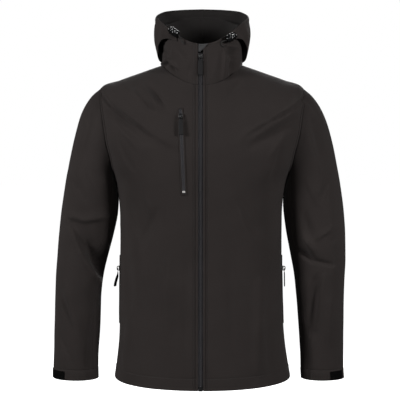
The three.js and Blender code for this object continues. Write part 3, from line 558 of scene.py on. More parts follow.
above = np.concatenate([[0, 0.004, 0.012, 0.03, 0.07], np.linspace(0.15, TIP_ROW, 26)[:-1]])
beside = armhole_row(np.linspace(0, np.pi, 72))
from_hem = np.array([32, 30, 28.5, 27.6, 27, 26.4, 25.5, 24, 20, 16, 12, 8, 5, 3, 1.3, 0.75, 0.4, 0.12, 0])
below = np.linspace(ARMPIT_ROW, HEM_ROW - 0.95, 116)[1:]
panel_rows = np.concatenate([above, beside, below, HEM_ROW - from_hem / 35])


def cloth_panel(node, point, normal, relief, mirrored, length=None):
    """A cut panel, which stands for the node of its own name. Returns its outer face and its normals."""
    panel, outer = shell(f"cloth_{node}", point, normal, relief, mirrored=mirrored)
    on_body(panel, "jacket", "shell_cloth", CLOTH, node)
    declare_cloth(point, length=length)
    return outer, normal


def panel_relief(point, row, both_armholes):
    """Seam allowances stand up as far as the topstitching. The hem is turned up and stitched."""
    across, along = run_along(point, 1) * 1000, run_along(point, 0) * 1000
    from_end = across[:, -1:] - across
    to_hem = along[-1:] - along
    beside_sleeve = ((row > TIP_ROW) & (row < ARMPIT_ROW))[:, None]
    relief = 0.5 * np.clip((HEM_STITCH - to_hem) / 1.5, 0, 1) + dip(to_hem, HEM_STITCH)
    for distance in [from_end] + ([across] if both_armholes else []):
        raised = (0.8 * np.clip((8 - distance) / 1.2, 0, 1) + dip(distance, 0, 1.6, 1.5)
                  + dip(distance, 8, 1.5, 1.1))
        relief = relief + np.where(beside_sleeve, raised, 0.35 * np.clip((8 - distance) / 1.5, 0, 1))
    if not both_armholes:
        relief = relief + 0.5 * np.clip((6 - across) / 1.2, 0, 1) + dip(across, 6, 1.5) + dip(across, 10, 1)
    return relief


fronts = {}
for side_name, side in SIDES:
    first = angle_at(TORSO, panel_rows, side * ZIP_OPENING / 2)
    last = side * panel_edge(panel_rows, 1)
    angles = lines_across(torso, first, last, panel_rows, FRONT_EDGE, ARMHOLE_EDGE, 3.6)
    point, normal = torso(angles, panel_rows[:, None])
    zip_edge, neck_rise = run_along(point, 0)[-1, 0], point[0, -1, 2] - point[0, 0, 2]
    fronts[side] = cloth_panel(f"front_{side_name}", point, normal, panel_relief(point, panel_rows, False),
                               side < 0, float(zip_edge + neck_rise))

first = panel_edge(panel_rows, -1)
angles = lines_across(torso, first, 2 * np.pi - first, panel_rows, ARMHOLE_EDGE, ARMHOLE_EDGE, 3.8)
point, normal = torso(angles, panel_rows[:, None])
centre_back = run_along(point, 0)[-1, point.shape[1] // 2]
back = cloth_panel("back", point, normal, panel_relief(point, panel_rows, True), True, float(centre_back))

# Sleeves: cut in two pieces, a wide top piece and a narrow under piece, joined by two seams on the inner
# side and set into the armhole. The cuff is turned up and stitched.
SLEEVE_COLUMNS = "outer_x outer_z inner_x inner_z centre_y half_depth".split()
SLEEVES = {
    -1: dict(zip(SLEEVE_COLUMNS, zip(
        (229, -50, 187, -262, 2, 77),
        (252, -71, 187.5, -276, 2, 76),
        (272, -107, 188, -293, 2, 74),
        (288, -160, 189, -316, 2, 71),
        (302, -224, 191.5, -346, 1, 68),
        (315, -296, 200, -385, -1, 65),
        (323.5, -364, 212, -430, -4, 62),
        (330, -440, 223, -477, -8, 58),
        (334, -511, 229, -530, -13, 54),
        (336, -587, 231, -598, -19, 50),
        (337, -650, 234.5, -655, -25, 45),
        (338.5, -690, 235, -692, -29, 42),
        (339, -714, 234.5, -715, -31, 41),
    ))),
    1: dict(zip(SLEEVE_COLUMNS, zip(
        (236, -50, 189, -262, 2, 77),
        (259, -71, 189.5, -276, 2, 76),
        (281, -107, 190, -293, 2, 74),
        (299, -160, 190.5, -316, 2, 71),
        (313, -224, 193, -346, 1, 68),
        (325, -296, 198.5, -385, -1, 65),
        (332.5, -364, 207, -430, -4, 62),
        (334, -440, 215.5, -477, -8, 58),
        (331, -511, 221, -530, -13, 54),
        (329.5, -587, 226, -598, -19, 50),
        (329, -650, 229.5, -655, -25, 45),
        (329, -690, 230, -692, -29, 42),
        (330, -714, 231, -715, -31, 41),
    ))),
}
SLEEVE_FOLDS = {
    (-1, True): [
        (-300, -340, -258, -351, 10, 4), (-264, -350, -214, -343, 10, 4), (-284, -360, -222, -474, 25, -10),
        (-229, -496, -266, -425, 10, 6.5), (-266, -425, -302, -352, 9, 4.5),
        (-248, -414, -214, -476, 17, -11), (-318, -516, -286, -600, 10, -3),
        (-302, -520, -268, -640, 16, 3.5), (-236, -540, -256, -680, 13, -4.5),
        (-238, -110, -264, -210, 16, -4), (-250, -240, -220, -300, 9, 2), (-300, -240, -262, -300, 10, -2),
        (-320, -610, -296, -668, 9, -1.5),
    ],
    (-1, False): [
        (-324, -348, -246, -378, 15, -6), (-328, -392, -246, -412, 15, 6), (-322, -432, -236, -444, 14, -6),
        (-264, -150, -232, -256, 17, -5), (-312, -510, -260, -620, 15, -5),
        (-300, -290, -240, -330, 9, 2), (-316, -470, -262, -490, 8, 2), (-300, -600, -290, -690, 9, 2),
    ],
    (1, True): [
        (224, -422, 256, -443, 9, -9), (256, -443, 298, -452, 7, -5), (232, -386, 252, -416, 10, 6),
        (262, -392, 298, -366, 8, 3), (234, -340, 246, -386, 12, -5), (262, -488, 248, -600, 18, -9),
        (276, -480, 262, -590, 12, 4),
        (292, -540, 282, -660, 15, 3), (232, -600, 244, -690, 12, -4), (248, -110, 272, -210, 16, -4),
        (240, -260, 262, -310, 9, 2), (292, -240, 270, -300, 10, -2), (300, -396, 322, -380, 8, -1.5),
    ],
    (1, False): [
        (324, -346, 240, -374, 15, -6), (330, -386, 236, -412, 15, 6), (322, -428, 232, -442, 14, -6),
        (270, -150, 236, -256, 17, -5), (314, -520, 260, -630, 15, -5),
        (300, -290, 244, -330, 9, 2), (312, -470, 262, -490, 8, 2), (296, -600, 290, -690, 9, 2),
    ],
}
CUFF_ROW = 12


def ease(low, high, value):
    """Goes from 0 to 1 between low and high, level at both ends."""
    t = np.clip((value - low) / (high - low), 0, 1)
    return t * t * (3 - 2 * t)


def sleeve_ring(side, turn, row):
    """A slanting ellipse between the sleeve's outermost and innermost points, with its own half depth."""
    at = {name: through(column, row) for name, column in SLEEVES[side].items()}
    share = (1 + np.cos(turn)) / 2
    x = side * (at["inner_x"] + (at["outer_x"] - at["inner_x"]) * share)
    y = at["centre_y"] - at["half_depth"] * np.sin(turn)
    return np.stack([x, y, at["inner_z"] + (at["outer_z"] - at["inner_z"]) * share], -1) / 1000


def sleeve_smooth(side, turn, row):
    """The sleeve without folds: it leaves the armhole in the seam's own shape and takes the rings' shape
    over the first three of them."""
    row = np.maximum(row, 0)
    seam = torso(side * armhole_angle(turn), armhole_row(turn))[0]
    left = (1 - ease(0, 3, row))[..., None]
    return sleeve_ring(side, turn, row) + left * (seam - sleeve_ring(side, turn, np.zeros_like(row)))


def sleeve(side, turn, row):
    """The sleeve's outer face and normal, with its folds."""
    turn, row = np.broadcast_arrays(np.asarray(turn, float), np.asarray(row, float))
    point = sleeve_smooth(side, turn, row)
    normal = normals(partial(sleeve_smooth, side), turn, row, 0.01, 0.03) * -side
    x, z = point[..., 0] * 1000, point[..., 2] * 1000
    folds = np.where(np.sin(turn) > 0, fold_height(SLEEVE_FOLDS[side, True], x, z),
                     fold_height(SLEEVE_FOLDS[side, False], x, z))
    folds = folds + unevenness(x, z, side * 1.3 + 0.5)
    return moved(point, normal, folds * np.minimum(1, np.abs(np.sin(turn)) / 0.35) * ease(0, 1, row)), normal


SEAM_FRONT, SEAM_BACK = math.radians(144), math.radians(-126)
CUFF_STITCH = 24
SLEEVE_EDGE = EDGE + [2.2, 3.6, 5.4, 6, 6.6, 8]
cuff_lines = np.array([28, 26, 25, 24.4, 24, 23.6, 23, 21, 17, 13, 9, 6, 4, 2.4, 1.3, 0.75, 0.4, 0.12, 0])
sleeves = {}
for side_name, side in SIDES:
    dense_rows = np.linspace(0, CUFF_ROW, 400)
    run = run_along(sleeve_smooth(side, np.full(400, 0.8), dense_rows)[:, None], 0)[:, 0] * 1000
    wanted = np.concatenate([[0, 0.12, 0.4, 0.75, 1.3, 2.4, 4], np.arange(7, run[-1] - 31, 3.7),
                             run[-1] - cuff_lines])
    rows = np.interp(wanted, run, dense_rows)
    for part, start, end in (("top", SEAM_BACK, SEAM_FRONT), ("under", SEAM_FRONT, SEAM_BACK + 2 * math.pi)):
        first, last = np.full(len(rows), start), np.full(len(rows), end)
        turns = lines_across(partial(sleeve, side), first, last, rows, SLEEVE_EDGE, SLEEVE_EDGE, 3.8)
        point, normal = sleeve(side, turns, rows[:, None])
        across, along = run_along(point, 1) * 1000, run_along(point, 0) * 1000
        to_cuff = along[-1:] - along
        relief = 0.4 * np.clip((CUFF_STITCH - to_cuff) / 1.5, 0, 1) + dip(to_cuff, CUFF_STITCH)
        for distance in (across, across[:, -1:] - across):
            relief = relief + 0.3 * np.clip((6 - distance) / 1.5, 0, 1) + dip(distance, 6, 0.5)
        relief = relief + dip(along, 0, 1.6, 1.8)
        sleeves[side, part] = cloth_panel(f"sleeve_{side_name}_{part}", point, normal, relief, side > 0)

# Collar: two halves of the same softshell, sewn to the neck and to each other at the centre back. Both
# fronts end at the zip, and the top edge is turned.
COLLAR = dict(zip(SECTION_COLUMNS, zip(
    (0, -47, 14, 4, 92, 92, 72, 2.0),
    (32, -16, 46, 4, 90.5, 91, 72, 2.1),
    (64, 15, 82, 4, 87, 89, 70, 2.1),
    (93, 44, 116, 4, 82, 87, 66, 2.1),
)))
COLLAR_TOP = 3
COLLAR_FOLDS = [
    (-88, -2, -73, 11, 5, 6), (-73, 11, -54, -8, 4.5, 6.5), (-80, -4, -72, 4, 4, -4),
    (-72, 4, -59, -14, 4.5, -7), (60, 40, 84, 37, 6, 5), (60, 24, 80, 18, 10, -8), (54, 32, 50, -34, 6, 5),
    (71, 14, 67, -22, 6, -7), (84, 30, 80, -14, 8, 3), (-22, -4, -26, -22, 6, -2), (40, 22, 30, -20, 7, 1.4),
    (-88, 34, -76, 16, 5, -4), (-50, 34, -38, 12, 6, -1.6), (-60, 40, -64, 20, 6, 1.6),
]


def collar(angle, row):
    """The collar's outer face and normal, on level outlines like the body's."""
    angle, row = np.broadcast_arrays(angle, row)
    point = section(COLLAR, angle, row)
    normal = -normals(partial(section, COLLAR), angle, row, 0.004, 0.02)
    x, z = point[..., 0] * 1000, point[..., 2] * 1000
    folds = np.where(np.cos(angle) > 0, fold_height(COLLAR_FOLDS, x, z), 0.4 * unevenness(x, z, 0.3))
    return moved(point, normal, folds * np.minimum(1, np.abs(np.cos(angle)) / 0.3)), normal


collar_rows = np.concatenate([[0, 0.004, 0.012, 0.025, 0.05], np.linspace(0.1, 2.75, 34),
                              COLLAR_TOP - np.array([6.4, 6, 5.6, 4, 2.5, 1.3, 0.75, 0.4, 0.12, 0]) / 31])
collars = {}
for side_name, side in SIDES:
    first = angle_at(COLLAR, collar_rows, side * ZIP_OPENING / 2)
    last = np.full(len(collar_rows), side * math.pi)
    angles = lines_across(collar, first, last, collar_rows, FRONT_EDGE, EDGE + [3, 5.6, 6, 6.4], 3.4)
    point, normal = collar(angles, collar_rows[:, None])
    across, along = run_along(point, 1) * 1000, run_along(point, 0) * 1000
    centre_seam = dip(across[:, -1:] - across, 0, 0.9, 1.6)
    relief = (centre_seam + dip(along[-1:] - along, 6, 0.3) + 0.5 * np.clip((6 - across) / 1.2, 0, 1)
              + dip(across, 6) + dip(across, 10, 0.55))
    collars[side] = cloth_panel(f"collar_{side_name}", point, normal, relief, side > 0)

# Hood: two halves joined by a centre-back seam and sewn into the neck behind the collar. It stands round the
# neck like a funnel. Its rim is turned over the drawcord and stitched, and its front ends carry the locks.
HOOD_COLUMNS = "angle collar_row out rim_x rim_y rim_z belly".split()
HOOD = dict(zip(HOOD_COLUMNS, zip(
    (40, 2.5, 2.6, 60, -71, 68, 0),
    (54, 2.3, 8, 79, -58, 84, 2),
    (66, 1.9, 13, 94, -39, 97, 4),
    (78, 1.1, 14, 103, -12, 107, 5),
    (90, 0.45, 9, 106, 20, 113, 6),
    (103, 0.2, 3.6, 101, 52, 121.5, 8),
    (124, 0.2, 2.9, 85, 79, 130, 9),
    (150, 0.2, 2.9, 48, 95, 135, 10),
    (180, 0.2, 2.9, 0, 100, 137, 10),
)))
HOOD_CENTRE = np.array((4.0, 0, 0))
HOOD_BACK = 8


def hood_smooth(side, rib, height):
    """From a lower edge set off the collar to the rim, straight but for a belly in between."""
    inside = np.minimum(rib, 2 * HOOD_BACK - rib)
    flip = np.where(rib > HOOD_BACK, -side, side)
    at = {name: through(column, inside) for name, column in HOOD.items()}
    low = moved(*collar(flip * np.radians(at["angle"]), at["collar_row"]), at["out"])
    rim = np.stack([HOOD_CENTRE[0] + flip * at["rim_x"], at["rim_y"], at["rim_z"]], -1) / 1000
    place = low + (rim - low) * height[..., None]
    outward = place - HOOD_CENTRE / 1000
    outward[..., 2] = 0
    return moved(place, unit(outward), at["belly"] * np.sin(np.pi * np.clip(height, 0, 1)))


def hood(side, rib, height):
    """The hood's outer face and normal, with soft upright creases that fade out towards its edges."""
    rib, height = np.broadcast_arrays(rib, height)
    point = hood_smooth(side, rib, height)
    normal = normals(partial(hood_smooth, side), rib, height, 0.02, 0.02) * -side
    crease = (2.2 * np.sin(rib * 2.6 + side) * np.exp(-((height - 0.35) / 0.3) ** 2)
              + 1.2 * np.sin(rib * 5.1 + 2 * side + height * 3))
    crease = crease * np.sin(np.pi * np.clip(height, 0, 1)) * ease(0, 1, rib) * ease(8, 7.2, rib)
    return moved(point, normal, crease), normal


RIM_STITCH, RIM_CORD, RIM_LENGTH = 14, 5, 105
rim_lines = np.array([16, 15, 14.4, 14, 13.6, 12, 9, 6, 4, 2.4, 1.3, 0.75, 0.4, 0.12, 0])
heights = np.concatenate([[0, 0.002, 0.006, 0.012, 0.02], np.linspace(0.035, 0.8, 30),
                          1 - rim_lines / RIM_LENGTH])
hoods = {}
for side_name, side in SIDES:
    first, last = np.zeros(len(heights)), np.full(len(heights), float(HOOD_BACK))
    ribs = lines_across(partial(hood, side), first, last, heights, EDGE + [3, 5, 8],
                        EDGE + [3, 5.6, 6, 6.4], 3.4)
    point, normal = hood(side, ribs, heights[:, None])
    along = run_along(point, 0) * 1000
    to_rim = along[-1:] - along
    bulge = 1.1 * np.sqrt(np.clip(1 - ((to_rim - RIM_CORD) / RIM_CORD) ** 2, 0, 1))
    hoods[side] = cloth_panel(f"hood_{side_name}", point, normal, dip(to_rim, RIM_STITCH) + bulge, side > 0)

# Stitching: polyester thread in lockstitches 2.6 mm long. Two rows hold the fronts' folded edges and the
# armhole's allowance; one row holds each hem, the cuffs, the collar's edge and the hood's drawcord channel.
STITCH_PITCH = 0.0033


def sampled(line, normal, pitch):
    """Places at even steps along a line: their points, the line's direction there and the normals."""
    run = run_along(line, 0)
    at = np.arange(pitch / 2, run[-1], pitch)
    point = np.stack([np.interp(at, run, line[:, k]) for k in range(3)], -1)
    facing = unit(np.stack([np.interp(at, run, normal[:, k]) for k in range(3)], -1))
    return point, unit(np.gradient(point, axis=0)), facing


def grains(centre, long_axis, normal, half_length, half_width, half_height, around=6):
    """Many small rounded grains: each is a short six-sided barrel with a point at both ends."""
    side = unit(np.cross(normal, long_axis))
    turn = np.linspace(0, 2 * np.pi, around, endpoint=False)[None, :, None]
    section_points = side[:, None] * np.cos(turn) * half_width + normal[:, None] * np.sin(turn) * half_height
    middle, reach = centre[:, None], long_axis[:, None] * half_length
    points = np.concatenate([middle - reach * 0.6 + section_points, middle + reach * 0.6 + section_points,
                             middle - reach, middle + reach], 1)
    ring, following = np.arange(around), (np.arange(around) + 1) % around
    quads = np.stack([ring, following, following + around, ring + around], -1)
    start = np.stack([following, ring, np.full(around, 2 * around)], -1)
    end = np.stack([ring + around, following + around, np.full(around, 2 * around + 1)], -1)
    number = np.arange(len(centre))[:, None, None] * (2 * around + 2)
    faces = (quads + number).reshape(-1, 4).tolist() + (start + number).reshape(-1, 3).tolist()
    faces += (end + number).reshape(-1, 3).tolist()
    uv = np.zeros((points.shape[0] * points.shape[1], 2))
    return points.reshape(-1, 3), faces, uv


def stitches(*lines):
    """The stitches along several lines of a panel, each given as its points and normals."""
    parts = [sampled(line, normal, STITCH_PITCH) for line, normal in lines]
    point, direction, facing = (np.concatenate(k) for k in zip(*parts))
    return grains(point + facing * 0.00012, direction, facing, 0.0013, 0.00036, 0.0003)


def twisted_thread(name, colour, lighter):
    """Corespun thread: a dull twist with a slight shine."""
    finish = Finish(name, Specular_IOR_Level=0.3)
    fibre = finish.noise(1500, 2)
    return finish.paint(finish.blend(fibre, colour, lighter), fibre * 0.2 + 0.5, fibre, 0.0001)


THREAD = twisted_thread("thread", (0.012, 0.0105, 0.01, 1), (0.022, 0.0195, 0.0185, 1))


def sew(name, *seams):
    """One object with the stitches along seams, each given as a panel and the places of its grid's lines."""
    lines = [(outer[place], normal[place]) for (outer, normal), places in seams for place in places]
    on_body(gathered(name, stitches(*lines)), "jacket", "shell_cloth", [THREAD])


hem_line = len(panel_rows) - len(from_hem) + list(from_hem).index(HEM_STITCH)
cuff_line = list(cuff_lines).index(CUFF_STITCH) - len(cuff_lines)
in_armhole = slice(len(above) + 1, len(above) + len(beside) - 1)
zip_rows = [FRONT_EDGE.index(k) for k in (6, 10)]
armhole_rows = [ARMHOLE_EDGE.index(k) for k in (1.8, 8)]
from_far_edge = [-1 - k for k in armhole_rows]
for side_name, side in SIDES:
    sew(f"stitches_front_{side_name}",
        (fronts[side], [np.s_[3:, k] for k in zip_rows] + [np.s_[in_armhole, k] for k in from_far_edge]
         + [np.s_[hem_line, 6:-4]]))
    sew(f"stitches_sleeve_{side_name}",
        (sleeves[side, "top"], [np.s_[cuff_line, 3:-3], np.s_[3:-3, 8], np.s_[3:-3, -9]]),
        (sleeves[side, "under"], [np.s_[cuff_line, 3:-3]]))
    sew(f"stitches_neck_{side_name}",
        (collars[side], [np.s_[3:-3, k] for k in zip_rows] + [np.s_[-9, 6:-3], np.s_[3:-3, -8]]),
        (hoods[side], [np.s_[-12, 4:-3], np.s_[3:-4, -8]]))
sew("stitches_back",
    (back, [np.s_[in_armhole, k] for k in armhole_rows + from_far_edge[::-1]] + [np.s_[hem_line, 4:-4]]))

# Main zip: a reversed nylon coil on woven polyester tapes, sewn behind the fronts' folded edges, with a
# lacquered slider and a moulded pull tab at the top and a pin and box at the hem.
ZIP_TOP = 2.3
CHAIN_END = HEM_ROW - 0.35


def main_zip_line(x, last_row, count=420):
    """Points and normals down the jacket's front at a distance x from the centre line."""
    up_collar = np.linspace(ZIP_TOP, 0.02, 60)
    down_front = np.linspace(0, last_row, count)
    parts = [collar(angle_at(COLLAR, up_collar, x), up_collar),
             torso(angle_at(TORSO, down_front, x), down_front)]
    return [np.concatenate(k) for k in zip(*parts)]


def zip_tape(name, colour, lighter):
    """A zip tape: a tight twill of fine cords along its length, with a slight shine."""
    finish = Finish(name, Specular_IOR_Level=0.12)
    across, along = finish.across_and_along()
    cords = (across * 6200 + (along * 3900).sine() * 0.6).sine() * 0.5 + 0.5
    worn = finish.noise(60, 3)
    tone = finish.blend(cords * 0.5 + worn * 0.4, colour, lighter)
    return finish.paint(tone, 0.72 - cords * 0.1, cords, 0.0002)


def coil_nylon(name, colour, lighter):
    """Nylon coil: smooth monofilament with faint drawing marks."""
    finish = Finish(name, Specular_IOR_Level=0.3)
    marks = finish.noise(700, 2)
    return finish.paint(finish.blend(marks, colour, lighter), marks * 0.15 + 0.33, marks, 0.00008)


def coil(line, normal, pitch=0.0009, reach=0.0013, offset=0.00085, height=0.0007):
    """The coil's turns, laid across the line from its two sides in turn."""
    point, direction, facing = sampled(line, normal, pitch)
    across = unit(np.cross(direction, facing))
    odd = np.where(np.arange(len(point)) % 2, 1.0, -1.0)[:, None]
    return grains(point + across * odd * offset, across, facing, reach, 0.00062, height)


TAPE = zip_tape("zip_tape", (0.034, 0.0325, 0.035, 1), (0.056, 0.0535, 0.058, 1))
TAPE_COLUMNS = np.array([0.08, 0.2, 0.6, 1.4, 2.2, 3, 3.6, 4.2, 4.8, 5.4, 6, 7, 8, 11, 14, 14.8, 15])
COIL = coil_nylon("zip_coil", (0.018, 0.0172, 0.019, 1), (0.03, 0.029, 0.032, 1))
for side_name, side in SIDES:
    columns = [main_zip_line(side * x, HEM_ROW - 0.03) for x in TAPE_COLUMNS]
    point, normal = (np.stack(k, 1) for k in zip(*columns))
    lift = -2.4 - 1.1 * np.exp(-((TAPE_COLUMNS - 5.2) / 1.3) ** 2)
    tape, _ = shell(f"tape_{side_name}", point, normal, lift, 0.7, side < 0)
    on_body(tape, "jacket", "zip_tape", [TAPE], f"main_zip_tape_{side_name}")
    declare_cloth(point, 0)
point, normal = main_zip_line(0, CHAIN_END)
on_body(gathered("main_coil", coil(moved(point, normal, -2.15), normal)),
        "jacket", "zip_coil", [COIL], "main_zip_chain")


def painted_metal(name, colour, lighter):
    """Die-cast zinc under black lacquer, a little rubbed."""
    finish = Finish(name, Specular_IOR_Level=0.22)
    rubbed = finish.noise(300, 4)
    return finish.paint(finish.blend(rubbed, colour, lighter), rubbed * 0.1 + 0.3, rubbed, 0.0001)


def moulded_rubber(name, colour, lighter):
    """Soft moulded plastic with a fine satin grain."""
    finish = Finish(name, Specular_IOR_Level=0.15)
    grain = finish.noise(1100, 3)
    broad = finish.noise(120, 2)
    return finish.paint(finish.blend(broad, colour, lighter), 0.74 - grain * 0.16, grain, 0.00012)


METAL = painted_metal("slider_lacquer", (0.005, 0.005, 0.0055, 1), (0.014, 0.014, 0.015, 1))
PULL = moulded_rubber("pull_tab_rubber", (0.007, 0.0068, 0.0072, 1), (0.012, 0.0116, 0.0122, 1))


def seat_axes(normal, hint, across=None):
    """The axes of a fitting on the cloth: across it, into it, and up it as near the hint as can be."""
    inward = -unit(np.asarray(normal, float))
    if across is not None:
        inward = unit(inward - across * inward.dot(across))
        return np.stack([across, inward, np.cross(across, inward)])
    upward = unit(hint - inward * inward.dot(hint))
    return np.stack([np.cross(inward, upward), inward, upward])


def lofted(heights, half_widths, half_depths, power=3.0, around=28):
    """Rings up a fitting, each a superellipse of its own half width and half depth, in mm."""
    turn = np.linspace(0, 2 * np.pi, around, endpoint=False)
    sine, cosine = np.sin(turn), np.cos(turn)
    reach = (np.abs(sine) ** power + np.abs(cosine) ** power) ** (-1 / power)
    x = np.outer(half_widths, reach * cosine)
    y = np.outer(half_depths, reach * sine)
    return np.stack([x, y, np.outer(heights, np.ones(around))], -1)


def slab(width, bottom, top, thickness, radius, taper=0.0, middle=0.0):
    """A crowned plate with rounded ends, with its back at y = middle + thickness / 2. It tapers downwards."""
    share = (1 - np.cos(np.linspace(0, np.pi, 34))) / 2
    heights = bottom + (top - bottom) * share
    to_end = np.minimum(heights - bottom, top - heights)
    corner = radius - np.sqrt(np.clip(radius ** 2 - (radius - np.minimum(to_end, radius)) ** 2, 0, None))
    half_width = width / 2 - corner - taper * (1 - share)
    half_depth = thickness / 2 * np.sqrt(1 - (1 - np.clip(to_end / (thickness / 2), 0, 1)) ** 2)
    rings = lofted(heights, np.maximum(half_width, 0.05), np.maximum(half_depth, 0.05), 3.4)
    rings[..., 1] += middle
    return rings


def pipe(stops, radius):
    """Rings of a round bar along the smooth curve through its stops, in a fitting's own axes, in mm."""
    return tube(smooth_path(stops, 6 * len(stops)), radius, 12, (0.3, 1, 0.1))


def seated(rings, origin, axes):
    """Carries rings from a fitting's own axes, in mm, to its place on the jacket."""
    return skin(origin + rings @ axes / 1000)


SLIDER_BRIDGE = [(0, -1, -4.4), (0, -3.4, -4.5), (0, -5.2, -3.6), (0, -5.8, -1.6), (0, -5.8, 1.6),
                 (0, -5.2, 3.5), (0, -3.4, 4.4), (0, -1, 4.3)]
PULL_LOOP = [(-2.6, 0, -10.5), (-2.75, 0, -6), (-2.7, 0, -2), (-1.7, 0, -0.2), (0, 0, 0), (1.7, 0, -0.2),
             (2.7, 0, -2), (2.75, 0, -6), (2.6, 0, -10.5)]
HINGE_OUT, HINGE_DOWN = 4.1, 0.5


def pull_grip(twist, lean):
    """The grip of a pull tab: a crowned plate with a waist and shallow ribs across its middle. Below its loop
    it turns about its own length by the twist, and its end leans away from the cloth."""
    rings = slab(10, -42, -8.6, 2.6, 2.2)
    height = rings[..., 2]
    share = ease(-8.6, -14, height) * ease(-42, -34, height)
    rings[..., 0] *= 1 - 0.07 * np.exp(-((height + 15) / 5) ** 2)
    rings[..., 1] *= 1 + share * 0.09 * np.sin(height * 2.3)
    turn = math.radians(twist) * ease(-9, -22, height)
    x, y = rings[..., 0], rings[..., 1]
    away = lean * ease(-9, -42, height)
    return np.stack([x * np.cos(turn) - y * np.sin(turn),
                     x * np.sin(turn) + y * np.cos(turn) - away, height], -1)


def slider_and_pull(name, normal, twist=0.0, lean=0.0):
    """A zip's slider on its coil and the pull tab that hangs on it, which turns on the slider's bridge."""
    joint = next(j for j in frame["joints"] if j["child"] == f"{name}_puller")
    hinge, across = np.array(joint["pos_m"]), -unit(np.array(joint["axis"]))
    axes = seat_axes(normal, None, across)
    seat = hinge + (axes[1] * HINGE_OUT + axes[2] * HINGE_DOWN) / 1000
    body = seated(slab(9.2, -6, 6, 2.4, 2.6, 0.9, -1.1), seat, axes)
    bridge = seated(pipe(SLIDER_BRIDGE, 1.05), seat, axes)
    slider = gathered(f"{name}_slider_body", body, bridge)
    on_body(slider, "jacket", "slider_metal", [METAL], f"{name}_slider")
    grip, loop = seated(pull_grip(twist, lean), hinge, axes), seated(pipe(PULL_LOOP, 0.68), hinge, axes)
    pull = gathered(f"{name}_pull_tab", grip, loop)
    on_body(pull, f"{name}_puller", "pull_tab", [PULL], f"{name}_puller")


slider_row = np.array([2.06])
slider_and_pull("main", collar(angle_at(COLLAR, slider_row, 0), slider_row)[1][0])

point, normal = torso(angle_at(TORSO, np.array([CHAIN_END]), 0), np.array([CHAIN_END]))
box_axes = seat_axes(normal[0], np.array((0, 0, 1.0)))
box_seat = moved(point, normal, -0.9)[0] - box_axes[2] * 0.0003
box_skin = seated(slab(10.6, -11.9, 0, 2.2, 1.5, 0.3), box_seat, box_axes)
pin = seated(pipe([(1.9, -1.2, -10), (1.9, -1.3, -5), (1.9, -1.2, 0.4)], 0.7), box_seat, box_axes)
on_body(gathered("zip_pin_box", box_skin, pin), "jacket", "slider_metal", [METAL], "main_zip_box")

# Chin guard: a folded corner of soft brushed tricot, sewn to the wearer's left collar half, that lies over
# the top of the zip and keeps it off the chin.
GUARD_LOW, GUARD_SIDE = 2.36, -4.5
share = np.linspace(0, 1, 26)[:, None]
guard_row = GUARD_LOW + (COLLAR_TOP - 0.01 - GUARD_LOW) * share
guard_columns = np.concatenate([[0, 0.01, 0.03], np.linspace(0.07, 0.93, 18), [0.97, 0.99, 1]])
guard_x = GUARD_SIDE + (3 + 18.5 * share) * guard_columns
point, normal = collar(angle_at(COLLAR, guard_row + 0 * guard_x, guard_x), guard_row)
guard, _ = shell("guard_fold", point, normal, 1.7, 1.2)
# The guard's colour is painted well lighter than the shell: partly a paler tricot, partly a painted highlight
# for the light that the folded corner catches.
TRICOT_PAINTED_HIGHLIGHT = fleece("brushed_tricot_painted_highlight", (0.03, 0.03, 0.031, 1), (0.055, 0.055, 0.056, 1))
on_body(guard, "jacket", "shell_cloth", [TRICOT_PAINTED_HIGHLIGHT, TRICOT_PAINTED_HIGHLIGHT], "chin_guard")
declare_cloth(point, 0)

# Pocket zips: a slot in the panel with a narrow turned edge all round it, and behind it a coil zip. The
# chest pocket is on the wearer's right with a pale end stop; the hand pockets lie beside the side seams.
CHEST_TOP, CHEST_END = np.array((-44.5, -100.0)), np.array((-36.5, -286.0))
HAND_ROWS, HAND_SLIDER_ROW = (9.482, 11.518), 9.864
HAND_COLUMN, SIDE_COLUMN, COLUMN_WIDTH = 11, 12, 33


def front_at(x, z):
    """The body's outer face and normal at the place that is seen from the front at x, z: a few steps of
    correction from a first guess."""
    row = np.interp(-z, -np.array(TORSO["front_z"], float), np.arange(15.0))
    at_x = x.astype(float)
    for _ in range(8):
        point, normal = torso(angle_at(TORSO, row, at_x), row)
        slope = (through(TORSO["front_z"], row + 0.1) - through(TORSO["front_z"], row)) / 0.1
        row = row + (z - point[..., 2] * 1000) / slope
        at_x = at_x + x - point[..., 0] * 1000
    return point, normal


def chest_place(along, across):
    """A place at the chest pocket: its share of the way down, and its distance (mm) from the middle."""
    place = CHEST_TOP + (CHEST_END - CHEST_TOP) * np.asarray(along, float)[..., None]
    return front_at(place[..., 0] + across, place[..., 1])


def hand_place(side, row, across):
    """A place at a hand pocket: its row, and its distance (mm) from the pocket's line towards the side."""
    start = angle_at(TORSO, row, side * ZIP_OPENING / 2)
    column = HAND_COLUMN + across / COLUMN_WIDTH
    return torso(start + (side * np.pi / 2 - start) * column / SIDE_COLUMN, row)


def slot_loop(place_at, across_reach, along_low, along_high, corner, count=150):
    """The path of a slot's edge: a long rectangle with round corners, walked once round at even steps."""
    turn = np.linspace(0, 2 * np.pi, count, endpoint=False)
    sine, cosine = np.sin(turn), np.cos(turn)
    across = across_reach * np.sign(sine) * np.minimum(1, np.abs(sine) / corner)
    middle, half = (along_low + along_high) / 2, (along_high - along_low) / 2
    return place_at(middle + half * cosine, across)


def edge_roll(point, normal, half_width, half_height, lift):
    """A closed roll of turned cloth along a looped path on the panel."""
    tangent = unit(np.roll(point, -1, 0) - np.roll(point, 1, 0))
    side = unit(np.cross(tangent, normal))
    turn = np.linspace(0, 2 * np.pi, 12, endpoint=False)[None, :, None]
    centre = moved(point, normal, lift)[:, None]
    section_points = side[:, None] * np.cos(turn) * half_width + normal[:, None] * np.sin(turn) * half_height
    return skin(centre + section_points / 1000, looped=True)


